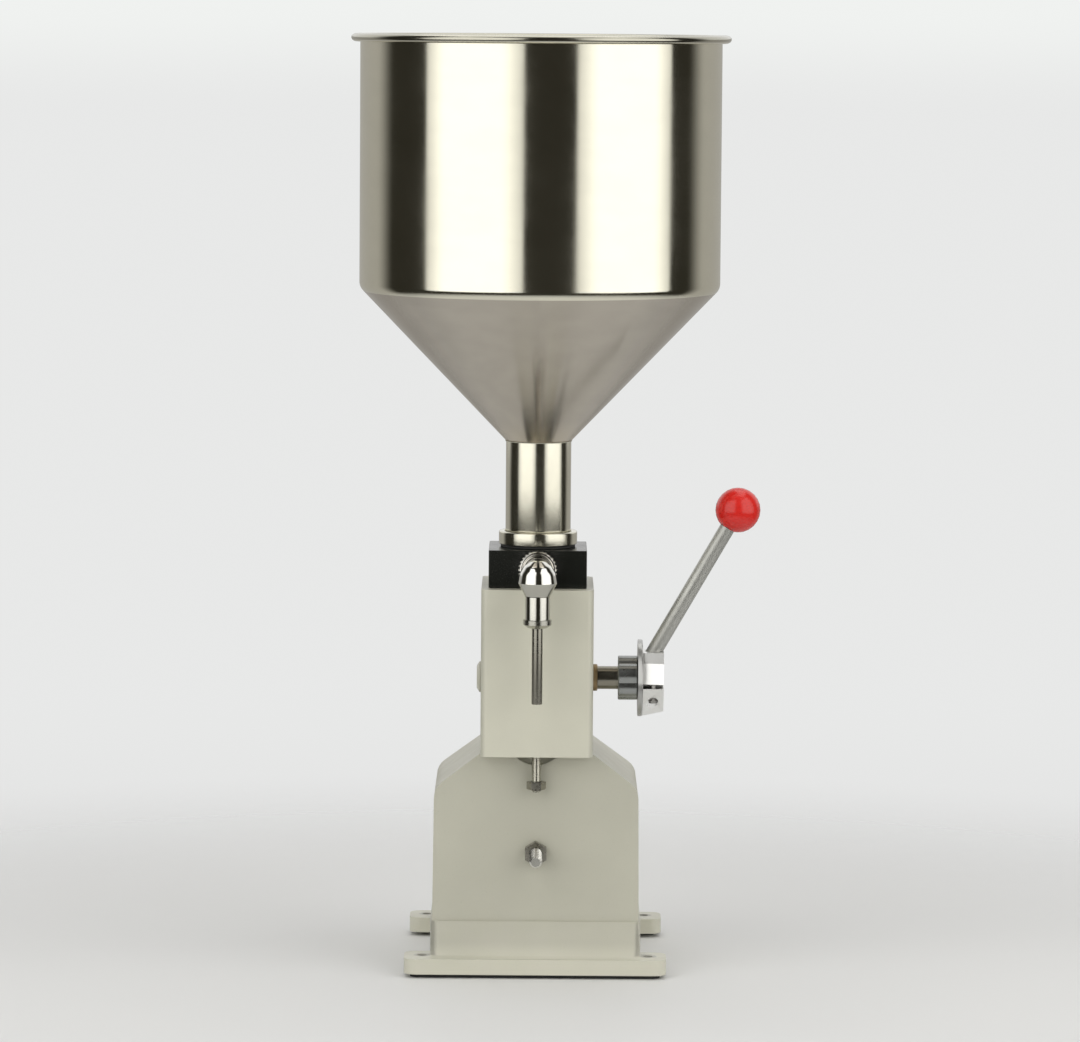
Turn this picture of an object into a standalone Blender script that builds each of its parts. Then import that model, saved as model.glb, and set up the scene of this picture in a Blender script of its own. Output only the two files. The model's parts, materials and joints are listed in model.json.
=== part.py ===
"""Manual piston filler: a lever turns a pinion, the pinion lifts a rack with the piston on top, and the
piston pushes the liquid that came down from the hopper out through the nozzle.

Frame: the origin lies on the underside of the base, below the common axis of hopper, cylinder and piston.
+Z is up, -Y is the front with the nozzle, +X is the side with the lever. All sizes are in metres.
"""

import math

import bmesh
import bpy
from mathutils import Matrix, Vector

# Clearances
GAP = 0.0003  # between two faces that touch on the real machine
RUN = 0.0003  # radial play of what slides or turns
EDGE_BREAK = 0.0008
PAST = 0.01  # how far a cutter reaches past the face it opens

# Base casting, a hollow box on a plinth with foot plates at the front and at the back
BASE_WIDTH = 0.161
BASE_SHOULDER_WIDTH = 0.159
BASE_SHOULDER_Z = 0.143
BASE_SHOULDER_RADIUS = 0.016
BASE_TOP_Z = 0.170
BASE_WALL = 0.006
BASE_ROOF = 0.008
BASE_FRONT_Y = -0.031
BASE_REAR_Y = 0.147  # at the plinth
BASE_REAR_TOP_Y = 0.085  # at the top, the back wall leans forward
BASE_EDGE = 0.003
PLINTH_TOP_Z = 0.039
PLINTH_STEP = 0.003  # how far the plinth stands out from the walls
FOOT_WIDTH = 0.204
FOOT_THICKNESS = 0.012
FOOT_FRONT_Y = -0.052
FOOT_FRONT_DEPTH = 0.038
FOOT_REAR_Y = 0.176
FOOT_REAR_DEPTH = 0.036
FOOT_CORNER = 0.009
FOOT_HOLE_RADIUS = 0.004
FOOT_HOLE_X = 0.0880
FOOT_HOLE_FRONT_Y = -0.032
FOOT_HOLE_REAR_Y = 0.160
STRIP_THICKNESS = 0.003
STRIP_INSET = 0.005
STRIP_DEPTH = 0.0185
NOTCH_WIDTH = 0.036  # half-moon in the front wall, under the column
NOTCH_DEPTH = 0.0085
COVER_THICKNESS = 0.004
COVER_LEDGE = 0.003
COVER_BOSS_RADIUS = 0.006
COVER_BOSS_TOP_Z = 0.020
COVER_SCREW_LENGTH = 0.012
COVER_SCREW_SINK = 0.0026  # the heads lie flush in the cover
NOTCH_LENGTH = 0.016  # from the front wall backwards and forwards
SHOULDER_MARGIN = 0.001  # the flat top is this much wider than the column on each side

# Column casting, open at the back
COLUMN_WIDTH = 0.087
COLUMN_FRONT_Y = -0.050
COLUMN_REAR_Y = 0.055
COLUMN_HEIGHT = 0.130
COLUMN_SIDE_WALL = 0.007
COLUMN_FRONT_WALL = 0.0045
COLUMN_FLOOR = 0.006
COLUMN_ROOF = 0.008
COLUMN_EDGE = 0.005
BACK_COVER_THICKNESS = 0.002
BACK_COVER_MARGIN = 0.0015
BACK_SCREW_INSET = 0.008
BACK_SCREW_LENGTH = 0.008
COLUMN_BOLT_Y = (-0.012, 0.040)
COLUMN_BOLT_INSET = 0.002

# Cylinder and piston
BORE_RADIUS = 0.028
SLEEVE_WALL = 0.004
SLEEVE_FLANGE_RADIUS = 0.035
SLEEVE_FLANGE_THICKNESS = 0.003
SLEEVE_LENGTH = 0.052
PISTON_LENGTH = 0.018
PISTON_HEADROOM = 0.0015
SEAL_WIDTH = 0.003
SEAL_GROOVE = 0.0022
SEAL_INSET = 0.004  # from an end of the piston to its nearest seal
HEAD_PLAY = 0.001  # round and above the head of a sunk screw
PISTON_SCREW_LENGTH = 0.018
BORE_LEAD_IN = 0.001

# Rack and pinion
MODULE = 0.0015
PINION_TEETH = 17
PINION_WIDTH = 0.016
PRESSURE_ANGLE = math.radians(20)
BACKLASH = 0.00016
SHAFT_Z = 0.229
RACK_PITCH_Y = -0.005
RACK_WIDTH = 0.014
RACK_BACK_Y = 0.009
LEVER_TRAVEL = math.pi / 2
SHAFT_RADIUS = 0.009
SHAFT_THIN_RADIUS = 0.007
SHAFT_TAIL_RADIUS = 0.006
KEY_SIZE = 0.004
KEY_END = 0.001  # the key stops this far inside each face of the pinion
RING_GROOVE = 0.0008
RING_REACH = 0.0022
RING_WIDTH = 0.0012
RING_OFFSET = 0.004  # from the inner face of the left wall
RING_MOUTH = 0.006

# Stroke stop, a threaded rod that hangs from an arm at the foot of the rack
ARM_THICKNESS = 0.009
ARM_WIDTH = 0.018
STOP_SCREW_RADIUS = 0.004
STOP_SCREW_Y = -0.039
STOP_NUT_SIZE = 0.013  # across flats
STOP_NUT_HEIGHT = 0.006
STOP_HOLE_RADIUS = 0.0055
FREE_THREAD = 0.0025  # thread left below the nut
ARM_EDGE = 0.002
ARM_HEAD_DEPTH = 0.004
ARM_HEAD_HEIGHT = 0.0035
ARM_SCREW_LENGTH = 0.015
RACK_THREAD_DEPTH = 0.013

# Lever outside the column
BUSH_RADIUS = 0.0105
BUSH_STANDOUT = 0.0035
BUSH_STANDIN = 0.002
BUSH_EDGE = 0.0006
CAP_RADIUS = 0.012
CAP_TOP_RADIUS = 0.00875
CAP_THICKNESS = 0.003
COLLAR_INNER_X = 0.063
COLLAR_RADIUS = 0.0175
COLLAR_WIDTH = 0.015
HUB_RADIUS = 0.030
HUB_DISC = 0.0037
HUB_WIDTH = 0.020
HUB_SLOT_LOW = 0.006  # both below the shaft axis
HUB_SLOT_HIGH = 0.0025
HUB_SLOT_END = 0.003  # how far the slot runs into the shaft bore
HUB_TAPER = 0.88
CLAMP_X = 0.012  # from the inner face of the hub
CLAMP_Y = 0.0135  # in front of the shaft axis
CLAMP_SEAT = 0.0155  # below the shaft axis
CLAMP_THREAD = 0.010  # above the shaft axis
CLAMP_LENGTH = 0.024
SET_SCREW_RADIUS = 0.003
SET_SCREW_DEPTH = 0.0025  # below the surface of the collar
ROD_RADIUS = 0.006
ROD_LEAN = math.radians(30)
ROD_REACH = 0.152  # from the shaft axis to the centre of the ball, along the rod
BALL_RADIUS = 0.0175
BALL_SOCKET = 0.45  # depth below the centre, as a share of the radius
ROD_CLEAR = 0.0018  # between the foot of the rod and the shaft

# Valve block between column and hopper
BLOCK_SIZE = 0.076
BLOCK_HEIGHT = 0.0292
PORT_RADIUS = 0.0203
PORT_DEPTH = 0.0081
CHAMBER_RADIUS = 0.011
INLET_HOLE_RADIUS = 0.006
INLET_SEAT_RISE = 0.0174  # above the underside of the block
INLET_SEAT_HEIGHT = 0.004
INLET_BALL_RADIUS = 0.0075
CAGE_THICKNESS = 0.002
CAGE_BAR = 0.003
CAGE_RING = 0.002
BLOCK_EDGE = 0.0006
BLOCK_THREAD_DEPTH = 0.012
BLOCK_SCREW_REACH = 0.011
BLOCK_SCREW_MARGIN = 0.006  # at least this far in from the sides of the block

# Outlet
OUTLET_Y = -0.082
OUTLET_RISE = 0.0152  # above the underside of the block
OUTLET_PIPE_RADIUS = 0.010
OUTLET_BORE_RADIUS = 0.0045
OUTLET_SPIGOT = 0.0077
UNION_RADIUS = 0.0151
UNION_WIDTH = 0.010
ELBOW_RADIUS = 0.015
ELBOW_CROWN_RISE = 0.0110  # above the outlet's axis
ELBOW_EDGE_DROP = 0.0063  # this and the next below the outlet's axis
ELBOW_FOOT_DROP = 0.0165
CONNECTOR_RADIUS = 0.00965
CONNECTOR_LENGTH = 0.0175
CONNECTOR_SPIGOT_RADIUS = 0.0067
CONNECTOR_SPIGOT = 0.008
CONNECTOR_CHAMBER_RADIUS = 0.006
CONNECTOR_SOCKET = 0.0035
OUTLET_SEAT_RADIUS = 0.0032
OUTLET_SEAT_DROP = 0.002
OUTLET_BALL_RADIUS = 0.0045
NOZZLE_RING_RADIUS = 0.011
NOZZLE_RING_HEIGHT = 0.0062
NOZZLE_RADIUS = 0.00415
NOZZLE_BORE_RADIUS = 0.0028
NOZZLE_SOCKET = 0.004
NOZZLE_RING_WALL = 0.003
NOZZLE_RING_CHAMFER = (0.0035, 0.0025)  # inwards and upwards
NOZZLE_TIP_DROP = 0.0998  # below the outlet's axis
SPRING_RADIUS = 0.0030
SPRING_WIRE = 0.00035
SPRING_TURNS = 3.0

# Hopper
HOPPER_RADIUS = 0.140
HOPPER_WALL = 0.0015
RIM_RISE = 0.3942  # this and the other rises above the top of the block
RIM_WIDTH = 0.0085
RIM_HEIGHT = 0.0064
KNUCKLE_RISE = 0.2017
KNUCKLE_RADIUS = 0.010
NECK_RADIUS = 0.0254
NECK_WALL = 0.0015
NECK_TOP_RISE = 0.0822
FERRULE_RADIUS = 0.0305
FERRULE_TOP_RISE = 0.0122
FERRULE_CHAMFER = 0.0008
NECK_SOCKET = 0.006
SPIGOT_RADIUS = 0.020
SPIGOT_BORE_RADIUS = 0.015
SPIGOT_LENGTH = 0.0095
GASKET_THICKNESS = 0.0014
GASKET_INSET = 0.0015

# Screws: radius of the thread, radius and height of the head
M3 = (0.0015, 0.0028, 0.0018)
M4 = (0.0020, 0.0035, 0.0022)
M5 = (0.0025, 0.00425, 0.0050)
M8 = (0.0040, 0.0065, 0.0080)
STUD_RADIUS = 0.005
STUD_Z = 0.093
STUD_REACH = 0.049
STUD_NUT_SIZE = 0.0165
STUD_NUT_HEIGHT = 0.008
STUD_TAIL = 0.004  # thread left inside behind the lock nut
STUD_EDGE = 0.001

# Sides of round shapes
COARSE = 12
MEDIUM = 24
FINE = 32
LARGE = 48

# Places that follow from the sizes above
COLUMN_BOTTOM_Z = BASE_TOP_Z + GAP
COLUMN_TOP_Z = COLUMN_BOTTOM_Z + COLUMN_HEIGHT
BLOCK_BOTTOM_Z = COLUMN_TOP_Z + GAP
BLOCK_TOP_Z = BLOCK_BOTTOM_Z + BLOCK_HEIGHT
INLET_SEAT_Z = BLOCK_BOTTOM_Z + INLET_SEAT_RISE
OUTLET_Z = BLOCK_BOTTOM_Z + OUTLET_RISE
ELBOW_CROWN_Z = OUTLET_Z + ELBOW_CROWN_RISE
ELBOW_EDGE_Z = OUTLET_Z - ELBOW_EDGE_DROP
ELBOW_FOOT_Z = OUTLET_Z - ELBOW_FOOT_DROP
NOZZLE_TIP_Z = OUTLET_Z - NOZZLE_TIP_DROP
FERRULE_TOP_Z = BLOCK_TOP_Z + FERRULE_TOP_RISE
NECK_TOP_Z = BLOCK_TOP_Z + NECK_TOP_RISE
KNUCKLE_Z = BLOCK_TOP_Z + KNUCKLE_RISE
RIM_Z = BLOCK_TOP_Z + RIM_RISE
SLEEVE_RADIUS = BORE_RADIUS + SLEEVE_WALL
PINION_PITCH_RADIUS = MODULE * PINION_TEETH / 2
SHAFT_Y = RACK_PITCH_Y - PINION_PITCH_RADIUS
STROKE = PINION_PITCH_RADIUS * LEVER_TRAVEL
PISTON_TOP_Z = COLUMN_TOP_Z - PISTON_HEADROOM - STROKE
PISTON_BOTTOM_Z = PISTON_TOP_Z - PISTON_LENGTH
ARM_TOP_Z = SHAFT_Z - PINION_PITCH_RADIUS - MODULE - STROKE - 0.001
ARM_BOTTOM_Z = ARM_TOP_Z - ARM_THICKNESS
STOP_NUT_TOP_Z = COLUMN_BOTTOM_Z - STROKE - GAP
STOP_NUT_Z = STOP_NUT_TOP_Z - STOP_NUT_HEIGHT / 2
COLLAR_OUTER_X = COLLAR_INNER_X + COLLAR_WIDTH
HUB_INNER_X = COLLAR_OUTER_X + GAP
HUB_OUTER_X = HUB_INNER_X + HUB_WIDTH
ROD_FOOT_X = COLLAR_OUTER_X + 0.001
COLUMN_INNER_X = COLUMN_WIDTH / 2 - COLUMN_SIDE_WALL
BLOCK_SCREW_PLACE = min(COLUMN_INNER_X - M5[1] - 0.001, BLOCK_SIZE / 2 - BLOCK_SCREW_MARGIN)

MANY_CUTS = ("base_housing", "valve_block", "outlet_elbow", "lever_hub", "stop_arm")
COLLECTIONS = {}
MATERIALS = {}


# ---- scene ----------------------------------------------------------------------------------------------


def clear_scene():
    for obj in list(bpy.data.objects):
        bpy.data.objects.remove(obj, do_unlink=True)
    for name in ("piston_liquid_filler", "cutters"):
        collection = bpy.data.collections.new(name)
        bpy.context.scene.collection.children.link(collection)
        COLLECTIONS[name] = collection


def material(name, colour, roughness, metallic):
    mat = bpy.data.materials.new(name)
    mat.use_nodes = True
    shader = mat.node_tree.nodes["Principled BSDF"]
    shader.inputs["Base Color"].default_value = (*colour, 1.0)
    shader.inputs["Roughness"].default_value = roughness
    shader.inputs["Metallic"].default_value = metallic
    MATERIALS[name] = mat


def make_materials():
    material("beige_paint", (0.50, 0.48, 0.40), 0.45, 0.0)
    material("polished_steel", (0.75, 0.73, 0.69), 0.12, 1.0)
    material("satin_steel", (0.62, 0.60, 0.56), 0.35, 1.0)
    material("chrome", (0.80, 0.80, 0.80), 0.08, 1.0)
    material("ground_steel", (0.45, 0.44, 0.42), 0.30, 1.0)
    material("black_plastic", (0.012, 0.012, 0.012), 0.20, 0.0)
    material("red_plastic", (0.70, 0.03, 0.03), 0.12, 0.0)
    material("black_rubber", (0.02, 0.02, 0.02), 0.75, 0.0)
    material("bronze", (0.55, 0.38, 0.18), 0.35, 1.0)


def collect(obj, mat=None):
    """A piece goes into the collection of parts, a cutter, which has no material, into the other."""
    for old in list(obj.users_collection):
        old.objects.unlink(obj)
    if mat is None:
        COLLECTIONS["cutters"].objects.link(obj)
        obj.hide_render = True
        obj.display_type = "WIRE"
    else:
        COLLECTIONS["piston_liquid_filler"].objects.link(obj)
        obj.data.materials.clear()
        obj.data.materials.append(MATERIALS[mat])
    return obj


def place(obj, location=(0, 0, 0), axis="Z"):
    """Moves a shape made along +Z so that it points along X, along Y towards the front, or along Z."""
    turn = {"X": (0, math.pi / 2, 0), "Y": (math.pi / 2, 0, 0), "Z": (0, 0, 0)}[axis]
    obj.rotation_euler = turn
    obj.location = location
    return obj


def pivot(name, location):
    empty = bpy.data.objects.new(name, None)
    empty.location = location
    empty.empty_display_size = 0.02
    COLLECTIONS["piston_liquid_filler"].objects.link(empty)
    return empty


def carry(empty, pieces):
    """Hangs pieces on the empty that marks their joint, where they are."""
    for piece in pieces:
        piece.parent = empty
        piece.matrix_parent_inverse = Matrix.Translation(-Vector(empty.location))


# ---- shapes ---------------------------------------------------------------------------------------------


def smooth(obj, angle=40):
    obj.data.shade_smooth()
    obj.data.set_sharp_from_angle(angle=math.radians(angle))


def arc(centre, radius, start, end, steps, squash=1.0):
    """Points of an arc in degrees, with its second axis scaled by squash."""
    points = []
    for i in range(steps + 1):
        a = math.radians(start + (end - start) * i / steps)
        points.append((centre[0] + radius * math.cos(a), centre[1] + radius * squash * math.sin(a)))
    return points


def rounded(points, radii, steps=4):
    """Replaces the corners of a closed outline by arcs. A radius of 0 keeps the corner."""
    out = []
    count = len(points)
    for i, radius in enumerate(radii):
        corner = Vector(points[i])
        if radius == 0:
            out.append(tuple(corner))
            continue
        to_last = (Vector(points[i - 1]) - corner).normalized()
        to_next = (Vector(points[(i + 1) % count]) - corner).normalized()
        half = to_last.angle(to_next) / 2
        centre = corner + (to_last + to_next).normalized() * radius / math.sin(half)
        first = corner + to_last * radius / math.tan(half) - centre
        last = corner + to_next * radius / math.tan(half) - centre
        sweep = first.angle_signed(last)
        for k in range(steps + 1):
            turn = Matrix.Rotation(-sweep * k / steps, 2)
            out.append(tuple(centre + turn @ first))
    return out


def turned(name, profile, mat=None, ring=False, segments=MEDIUM):
    """Turns a profile of (radius, height) about Z. It runs down the outer side, a ring's comes back up."""
    mesh = bpy.data.meshes.new(name)
    edges = [(i, i + 1) for i in range(len(profile) - 1)]
    if ring:
        edges.append((len(profile) - 1, 0))
    mesh.from_pydata([(r, 0, z) for r, z in profile], edges, [])
    obj = bpy.data.objects.new(name, mesh)
    collect(obj, mat)
    screw = obj.modifiers.new("turn", "SCREW")
    screw.angle = 2 * math.pi
    screw.steps = segments
    screw.render_steps = segments
    screw.use_merge_vertices = True
    screw.merge_threshold = 0.00001
    screw.use_smooth_shade = False
    return obj


def disc(name, radius, bottom, top, mat=None, segments=MEDIUM, chamfer=0.0, foot_chamfer=0.0):
    """A plain cylinder along Z between two heights."""
    profile = [(0, top), (radius - chamfer, top)]
    if chamfer:
        profile.append((radius, top - chamfer))
    if foot_chamfer:
        profile.append((radius, bottom + foot_chamfer))
    profile += [(radius - foot_chamfer, bottom), (0, bottom)]
    return turned(name, profile, mat, segments=segments)


def tube(name, outer, inner, bottom, top, mat=None, segments=MEDIUM, chamfer=0.0):
    profile = [(outer - chamfer, top)]
    if chamfer:
        profile += [(outer, top - chamfer), (outer, bottom + chamfer)]
    profile += [(outer - chamfer, bottom), (inner, bottom), (inner, top)]
    return turned(name, profile, mat, ring=True, segments=segments)


def box(name, low, high, mat=None, edge=0.0, upright_only=False, segments=2):
    """A box between two corners. Its edges, or only the upright ones, are rounded."""
    bm = bmesh.new()
    bmesh.ops.create_cube(bm, size=1.0)
    low, high = Vector(low), Vector(high)
    for vert in bm.verts:
        vert.co = Vector([(low[k] + high[k]) / 2 + vert.co[k] * (high[k] - low[k]) for k in range(3)])
    if edge:
        edges = bm.edges[:]
        if upright_only:
            edges = [e for e in edges if abs(e.verts[0].co.z - e.verts[1].co.z) > GAP]
        bmesh.ops.bevel(bm, geom=edges, offset=edge, segments=segments, profile=0.5, affect="EDGES")
    mesh = bpy.data.meshes.new(name)
    bm.to_mesh(mesh)
    bm.free()
    return collect(bpy.data.objects.new(name, mesh), mat)


def prism(name, outline, depth, mat=None):
    """A flat outline in X and Z, as a solid from Y = 0 back to Y = depth."""
    curve = bpy.data.curves.new(name, "CURVE")
    curve.dimensions = "2D"
    curve.fill_mode = "BOTH"
    curve.extrude = depth / 2
    spline = curve.splines.new("POLY")
    spline.points.add(len(outline) - 1)
    for point, (x, z) in zip(spline.points, outline):
        point.co = (x, z, 0, 1)
    spline.use_cyclic_u = True
    flat = bpy.data.objects.new(name + "_outline", curve)
    bpy.context.scene.collection.objects.link(flat)
    bpy.context.view_layer.update()
    evaluated = flat.evaluated_get(bpy.context.evaluated_depsgraph_get())
    mesh = bpy.data.meshes.new_from_object(evaluated)
    bpy.data.objects.remove(flat, do_unlink=True)
    mesh.name = name
    mesh.transform(Matrix.Translation((0, depth / 2, 0)) @ Matrix.Rotation(math.pi / 2, 4, "X"))
    bm = bmesh.new()
    bm.from_mesh(mesh)
    bmesh.ops.remove_doubles(bm, verts=bm.verts, dist=0.00001)
    bmesh.ops.recalc_face_normals(bm, faces=bm.faces)
    bm.to_mesh(mesh)
    bm.free()
    return collect(bpy.data.objects.new(name, mesh), mat)


def hexagon(name, across_flats, bottom, top, mat=None):
    bm = bmesh.new()
    bmesh.ops.create_cone(bm, cap_ends=True, segments=6, radius1=across_flats / math.sqrt(3),
                          radius2=across_flats / math.sqrt(3), depth=top - bottom)
    bmesh.ops.translate(bm, verts=bm.verts, vec=(0, 0, (top + bottom) / 2))
    mesh = bpy.data.meshes.new(name)
    bm.to_mesh(mesh)
    bm.free()
    return collect(bpy.data.objects.new(name, mesh), mat)


def ball(name, radius, centre, mat, segments=16):
    bm = bmesh.new()
    bmesh.ops.create_uvsphere(bm, u_segments=segments, v_segments=segments // 2, radius=radius)
    mesh = bpy.data.meshes.new(name)
    bm.to_mesh(mesh)
    bm.free()
    obj = collect(bpy.data.objects.new(name, mesh), mat)
    obj.location = centre
    smooth(obj)
    return obj


def boolean(obj, others, operation):
    """Pieces with many cuts close together need the manifold solver, which leaves no slivers."""
    for other in others:
        mod = obj.modifiers.new(operation.lower(), "BOOLEAN")
        mod.operation = operation
        mod.object = other
        mod.solver = "MANIFOLD" if obj.name in MANY_CUTS else "EXACT"


def cut(obj, *cutters):
    boolean(obj, cutters, "DIFFERENCE")


def join(obj, *others):
    boolean(obj, others, "UNION")


def screw(name, size, seat, length, mat, axis="Z", flip=False):
    """A screw whose head stands on seat and whose thread goes the other way, for the given length."""
    thread, head, height = size
    profile = [(0, height), (head, height), (head, 0), (thread, 0), (thread, -length), (0, -length)]
    if flip:
        profile = [(r, -z) for r, z in reversed(profile)]
    obj = turned(name, profile, mat, segments=COARSE)
    smooth(place(obj, seat, axis))
    return obj


def hole(name, radius, centre, length, axis="Z", segments=COARSE):
    """A cutter centred on a point."""
    obj = disc(name, radius, -length / 2, length / 2, segments=segments)
    return place(obj, centre, axis)


# ---- base -----------------------------------------------------------------------------------------------


def base_outline(inset, bottom, top_inset):
    """Front view of the base, drawn in by inset at its sides."""
    foot = BASE_WIDTH / 2 - inset
    shoulder = BASE_SHOULDER_WIDTH / 2 - inset
    crown = COLUMN_WIDTH / 2 + SHOULDER_MARGIN - inset
    low, high = BASE_SHOULDER_Z - inset * 0.4, BASE_TOP_Z - top_inset
    points = [(foot, bottom), (shoulder, low), (crown, high), (-crown, high), (-shoulder, low), (-foot, bottom)]
    bend = max(BASE_SHOULDER_RADIUS - inset, BASE_EDGE)
    return rounded(points, [0, bend, BASE_EDGE, BASE_EDGE, bend, 0])


def lean_back_wall(mesh, inset):
    """The back wall leans from its foot at the plinth to the top."""
    slope = (BASE_REAR_TOP_Y - BASE_REAR_Y) / (BASE_TOP_Z - PLINTH_TOP_Z)
    for vert in mesh.vertices:
        if vert.co.y > 0:
            rise = max(vert.co.z - PLINTH_TOP_Z, 0)
            vert.co.y = BASE_REAR_Y - inset + slope * rise


def base_prism(name, inset, bottom, top_inset, mat=None):
    obj = prism(name, base_outline(inset, bottom, top_inset), 0.1, mat)
    obj.data.transform(Matrix.Translation((0, BASE_FRONT_Y + inset, 0)))
    lean_back_wall(obj.data, inset)
    return obj


def foot_plate(name, front, depth, edge=FOOT_CORNER):
    half = FOOT_WIDTH / 2
    return box(name, (-half, front, 0), (half, front + depth, FOOT_THICKNESS), None, edge, True, 3)


def foot_holes():
    places = [(x, y) for x in (-FOOT_HOLE_X, FOOT_HOLE_X) for y in (FOOT_HOLE_FRONT_Y, FOOT_HOLE_REAR_Y)]
    return [hole(f"foot_hole_{i}", FOOT_HOLE_RADIUS, (x, y, 0), 0.04) for i, (x, y) in enumerate(places)]


def cover_boss_places():
    front = BASE_FRONT_Y + BASE_WALL + COVER_BOSS_RADIUS * 0.8
    rear = BASE_REAR_Y - BASE_WALL - COVER_BOSS_RADIUS * 0.8
    return {"front": front, "rear": rear}


def column_bolt_places():
    x = COLUMN_INNER_X - M8[1] - COLUMN_BOLT_INSET
    return [(sx * x, y) for y in COLUMN_BOLT_Y for sx in (-1, 1)]


def make_base():
    base = base_prism("base_housing", 0.0, PLINTH_TOP_Z - BASE_EDGE, 0.0, "beige_paint")
    bevel = base.modifiers.new("edges", "BEVEL")
    bevel.width = BASE_EDGE
    bevel.segments = 2
    bevel.limit_method = "ANGLE"
    bevel.angle_limit = math.radians(60)
    half = BASE_WIDTH / 2 + PLINTH_STEP / 2
    plinth = box("plinth", (-half, BASE_FRONT_Y - PLINTH_STEP, 0),
                 (half, BASE_REAR_Y + PLINTH_STEP, PLINTH_TOP_Z), None, 2 * BASE_EDGE, True, 3)
    front_foot = foot_plate("front_foot", FOOT_FRONT_Y, FOOT_FRONT_DEPTH)
    rear_foot = foot_plate("rear_foot", FOOT_REAR_Y - FOOT_REAR_DEPTH, FOOT_REAR_DEPTH)
    join(base, plinth, front_foot, rear_foot)

    hollow = base_prism("base_hollow", BASE_WALL, -PAST, BASE_ROOF)
    ledge = BASE_WALL - COVER_LEDGE
    rebate = box("cover_rebate", (-BASE_WIDTH / 2 + ledge, BASE_FRONT_Y + ledge, -PAST),
                 (BASE_WIDTH / 2 - ledge, BASE_REAR_Y - ledge, COVER_THICKNESS + GAP))
    cut(base, hollow, rebate)
    for side, y in cover_boss_places().items():
        boss = disc(f"cover_boss_{side}", COVER_BOSS_RADIUS, COVER_THICKNESS + GAP, COVER_BOSS_TOP_Z)
        join(base, place(boss, (0, y, 0)))
        cut(base, hole(f"cover_screw_hole_{side}", M4[0] + RUN, (0, y, 0), 0.03))

    notch_radius = NOTCH_WIDTH ** 2 / (8 * NOTCH_DEPTH) + NOTCH_DEPTH / 2
    notch_z = BASE_TOP_Z - NOTCH_DEPTH + notch_radius
    cut(base, hole("stop_notch", notch_radius, (0, BASE_FRONT_Y, notch_z), NOTCH_LENGTH, "Y", LARGE))
    cut(base, hole("stud_hole", STUD_RADIUS + RUN, (0, BASE_FRONT_Y, STUD_Z), 0.03, "Y"))
    cut(base, *foot_holes())
    for i, (x, y) in enumerate(column_bolt_places()):
        cut(base, hole(f"bolt_hole_{i}", M8[0] + RUN, (x, y, BASE_TOP_Z), 0.04))
    smooth(base)


def make_bottom_cover():
    edge = BASE_WALL - COVER_LEDGE + GAP
    cover = box("bottom_cover", (-BASE_WIDTH / 2 + edge, BASE_FRONT_Y + edge, 0),
                (BASE_WIDTH / 2 - edge, BASE_REAR_Y - edge, COVER_THICKNESS), "ground_steel")
    for side, y in cover_boss_places().items():
        cut(cover, hole(f"cover_hole_{side}", M4[0] + RUN, (0, y, 0), 0.02),
            hole(f"cover_head_hole_{side}", M4[1] + RUN, (0, y, 0), 2 * COVER_SCREW_SINK))
        screw(f"cover_screw_{side}", M4, (0, y, COVER_SCREW_SINK - GAP), COVER_SCREW_LENGTH, "ground_steel",
              flip=True)


def make_feet():
    front, rear = FOOT_FRONT_Y + STRIP_INSET, FOOT_REAR_Y - STRIP_INSET
    spans = {"front": (front, front + STRIP_DEPTH), "rear": (rear - STRIP_DEPTH, rear)}
    half = FOOT_WIDTH / 2 - STRIP_INSET
    for side, (front, rear) in spans.items():
        strip = box(f"foot_strip_{side}", (-half, front, -STRIP_THICKNESS), (half, rear, -GAP), "black_rubber",
                    0.005, True, 2)
        y = FOOT_HOLE_FRONT_Y if side == "front" else FOOT_HOLE_REAR_Y
        for sign in (-1, 1):
            cut(strip, hole(f"strip_hole_{side}_{sign + 1}", FOOT_HOLE_RADIUS, (sign * FOOT_HOLE_X, y, 0), 0.02))


def make_front_stud():
    wall = BASE_FRONT_Y - GAP
    inner = BASE_FRONT_Y + BASE_WALL + GAP
    length = STUD_REACH + BASE_WALL + STUD_NUT_HEIGHT + STUD_TAIL
    stud = disc("front_stud", STUD_RADIUS, 0, length, "chrome", COARSE, STUD_EDGE, STUD_EDGE)
    smooth(place(stud, (0, inner + STUD_NUT_HEIGHT + STUD_TAIL, STUD_Z), "Y"))
    for name, rear in (("front_stud_nut", wall), ("front_stud_lock_nut", inner + STUD_NUT_HEIGHT)):
        nut = hexagon(name, STUD_NUT_SIZE, 0, STUD_NUT_HEIGHT, "chrome")
        place(nut, (0, rear, STUD_Z), "Y")
        cut(nut, hole(name + "_bore", STUD_RADIUS + RUN, (0, rear, STUD_Z), 0.03, "Y"))


# ---- column ---------------------------------------------------------------------------------------------


def back_cover_screw_places():
    x = COLUMN_INNER_X + COLUMN_SIDE_WALL / 2
    heights = (COLUMN_BOTTOM_Z + BACK_SCREW_INSET, COLUMN_TOP_Z - BACK_SCREW_INSET)
    return [(sx * x, z) for z in heights for sx in (-1, 1)]


def block_screw_places():
    return [(sx * BLOCK_SCREW_PLACE, sy * BLOCK_SCREW_PLACE) for sy in (-1, 1) for sx in (-1, 1)]


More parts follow.
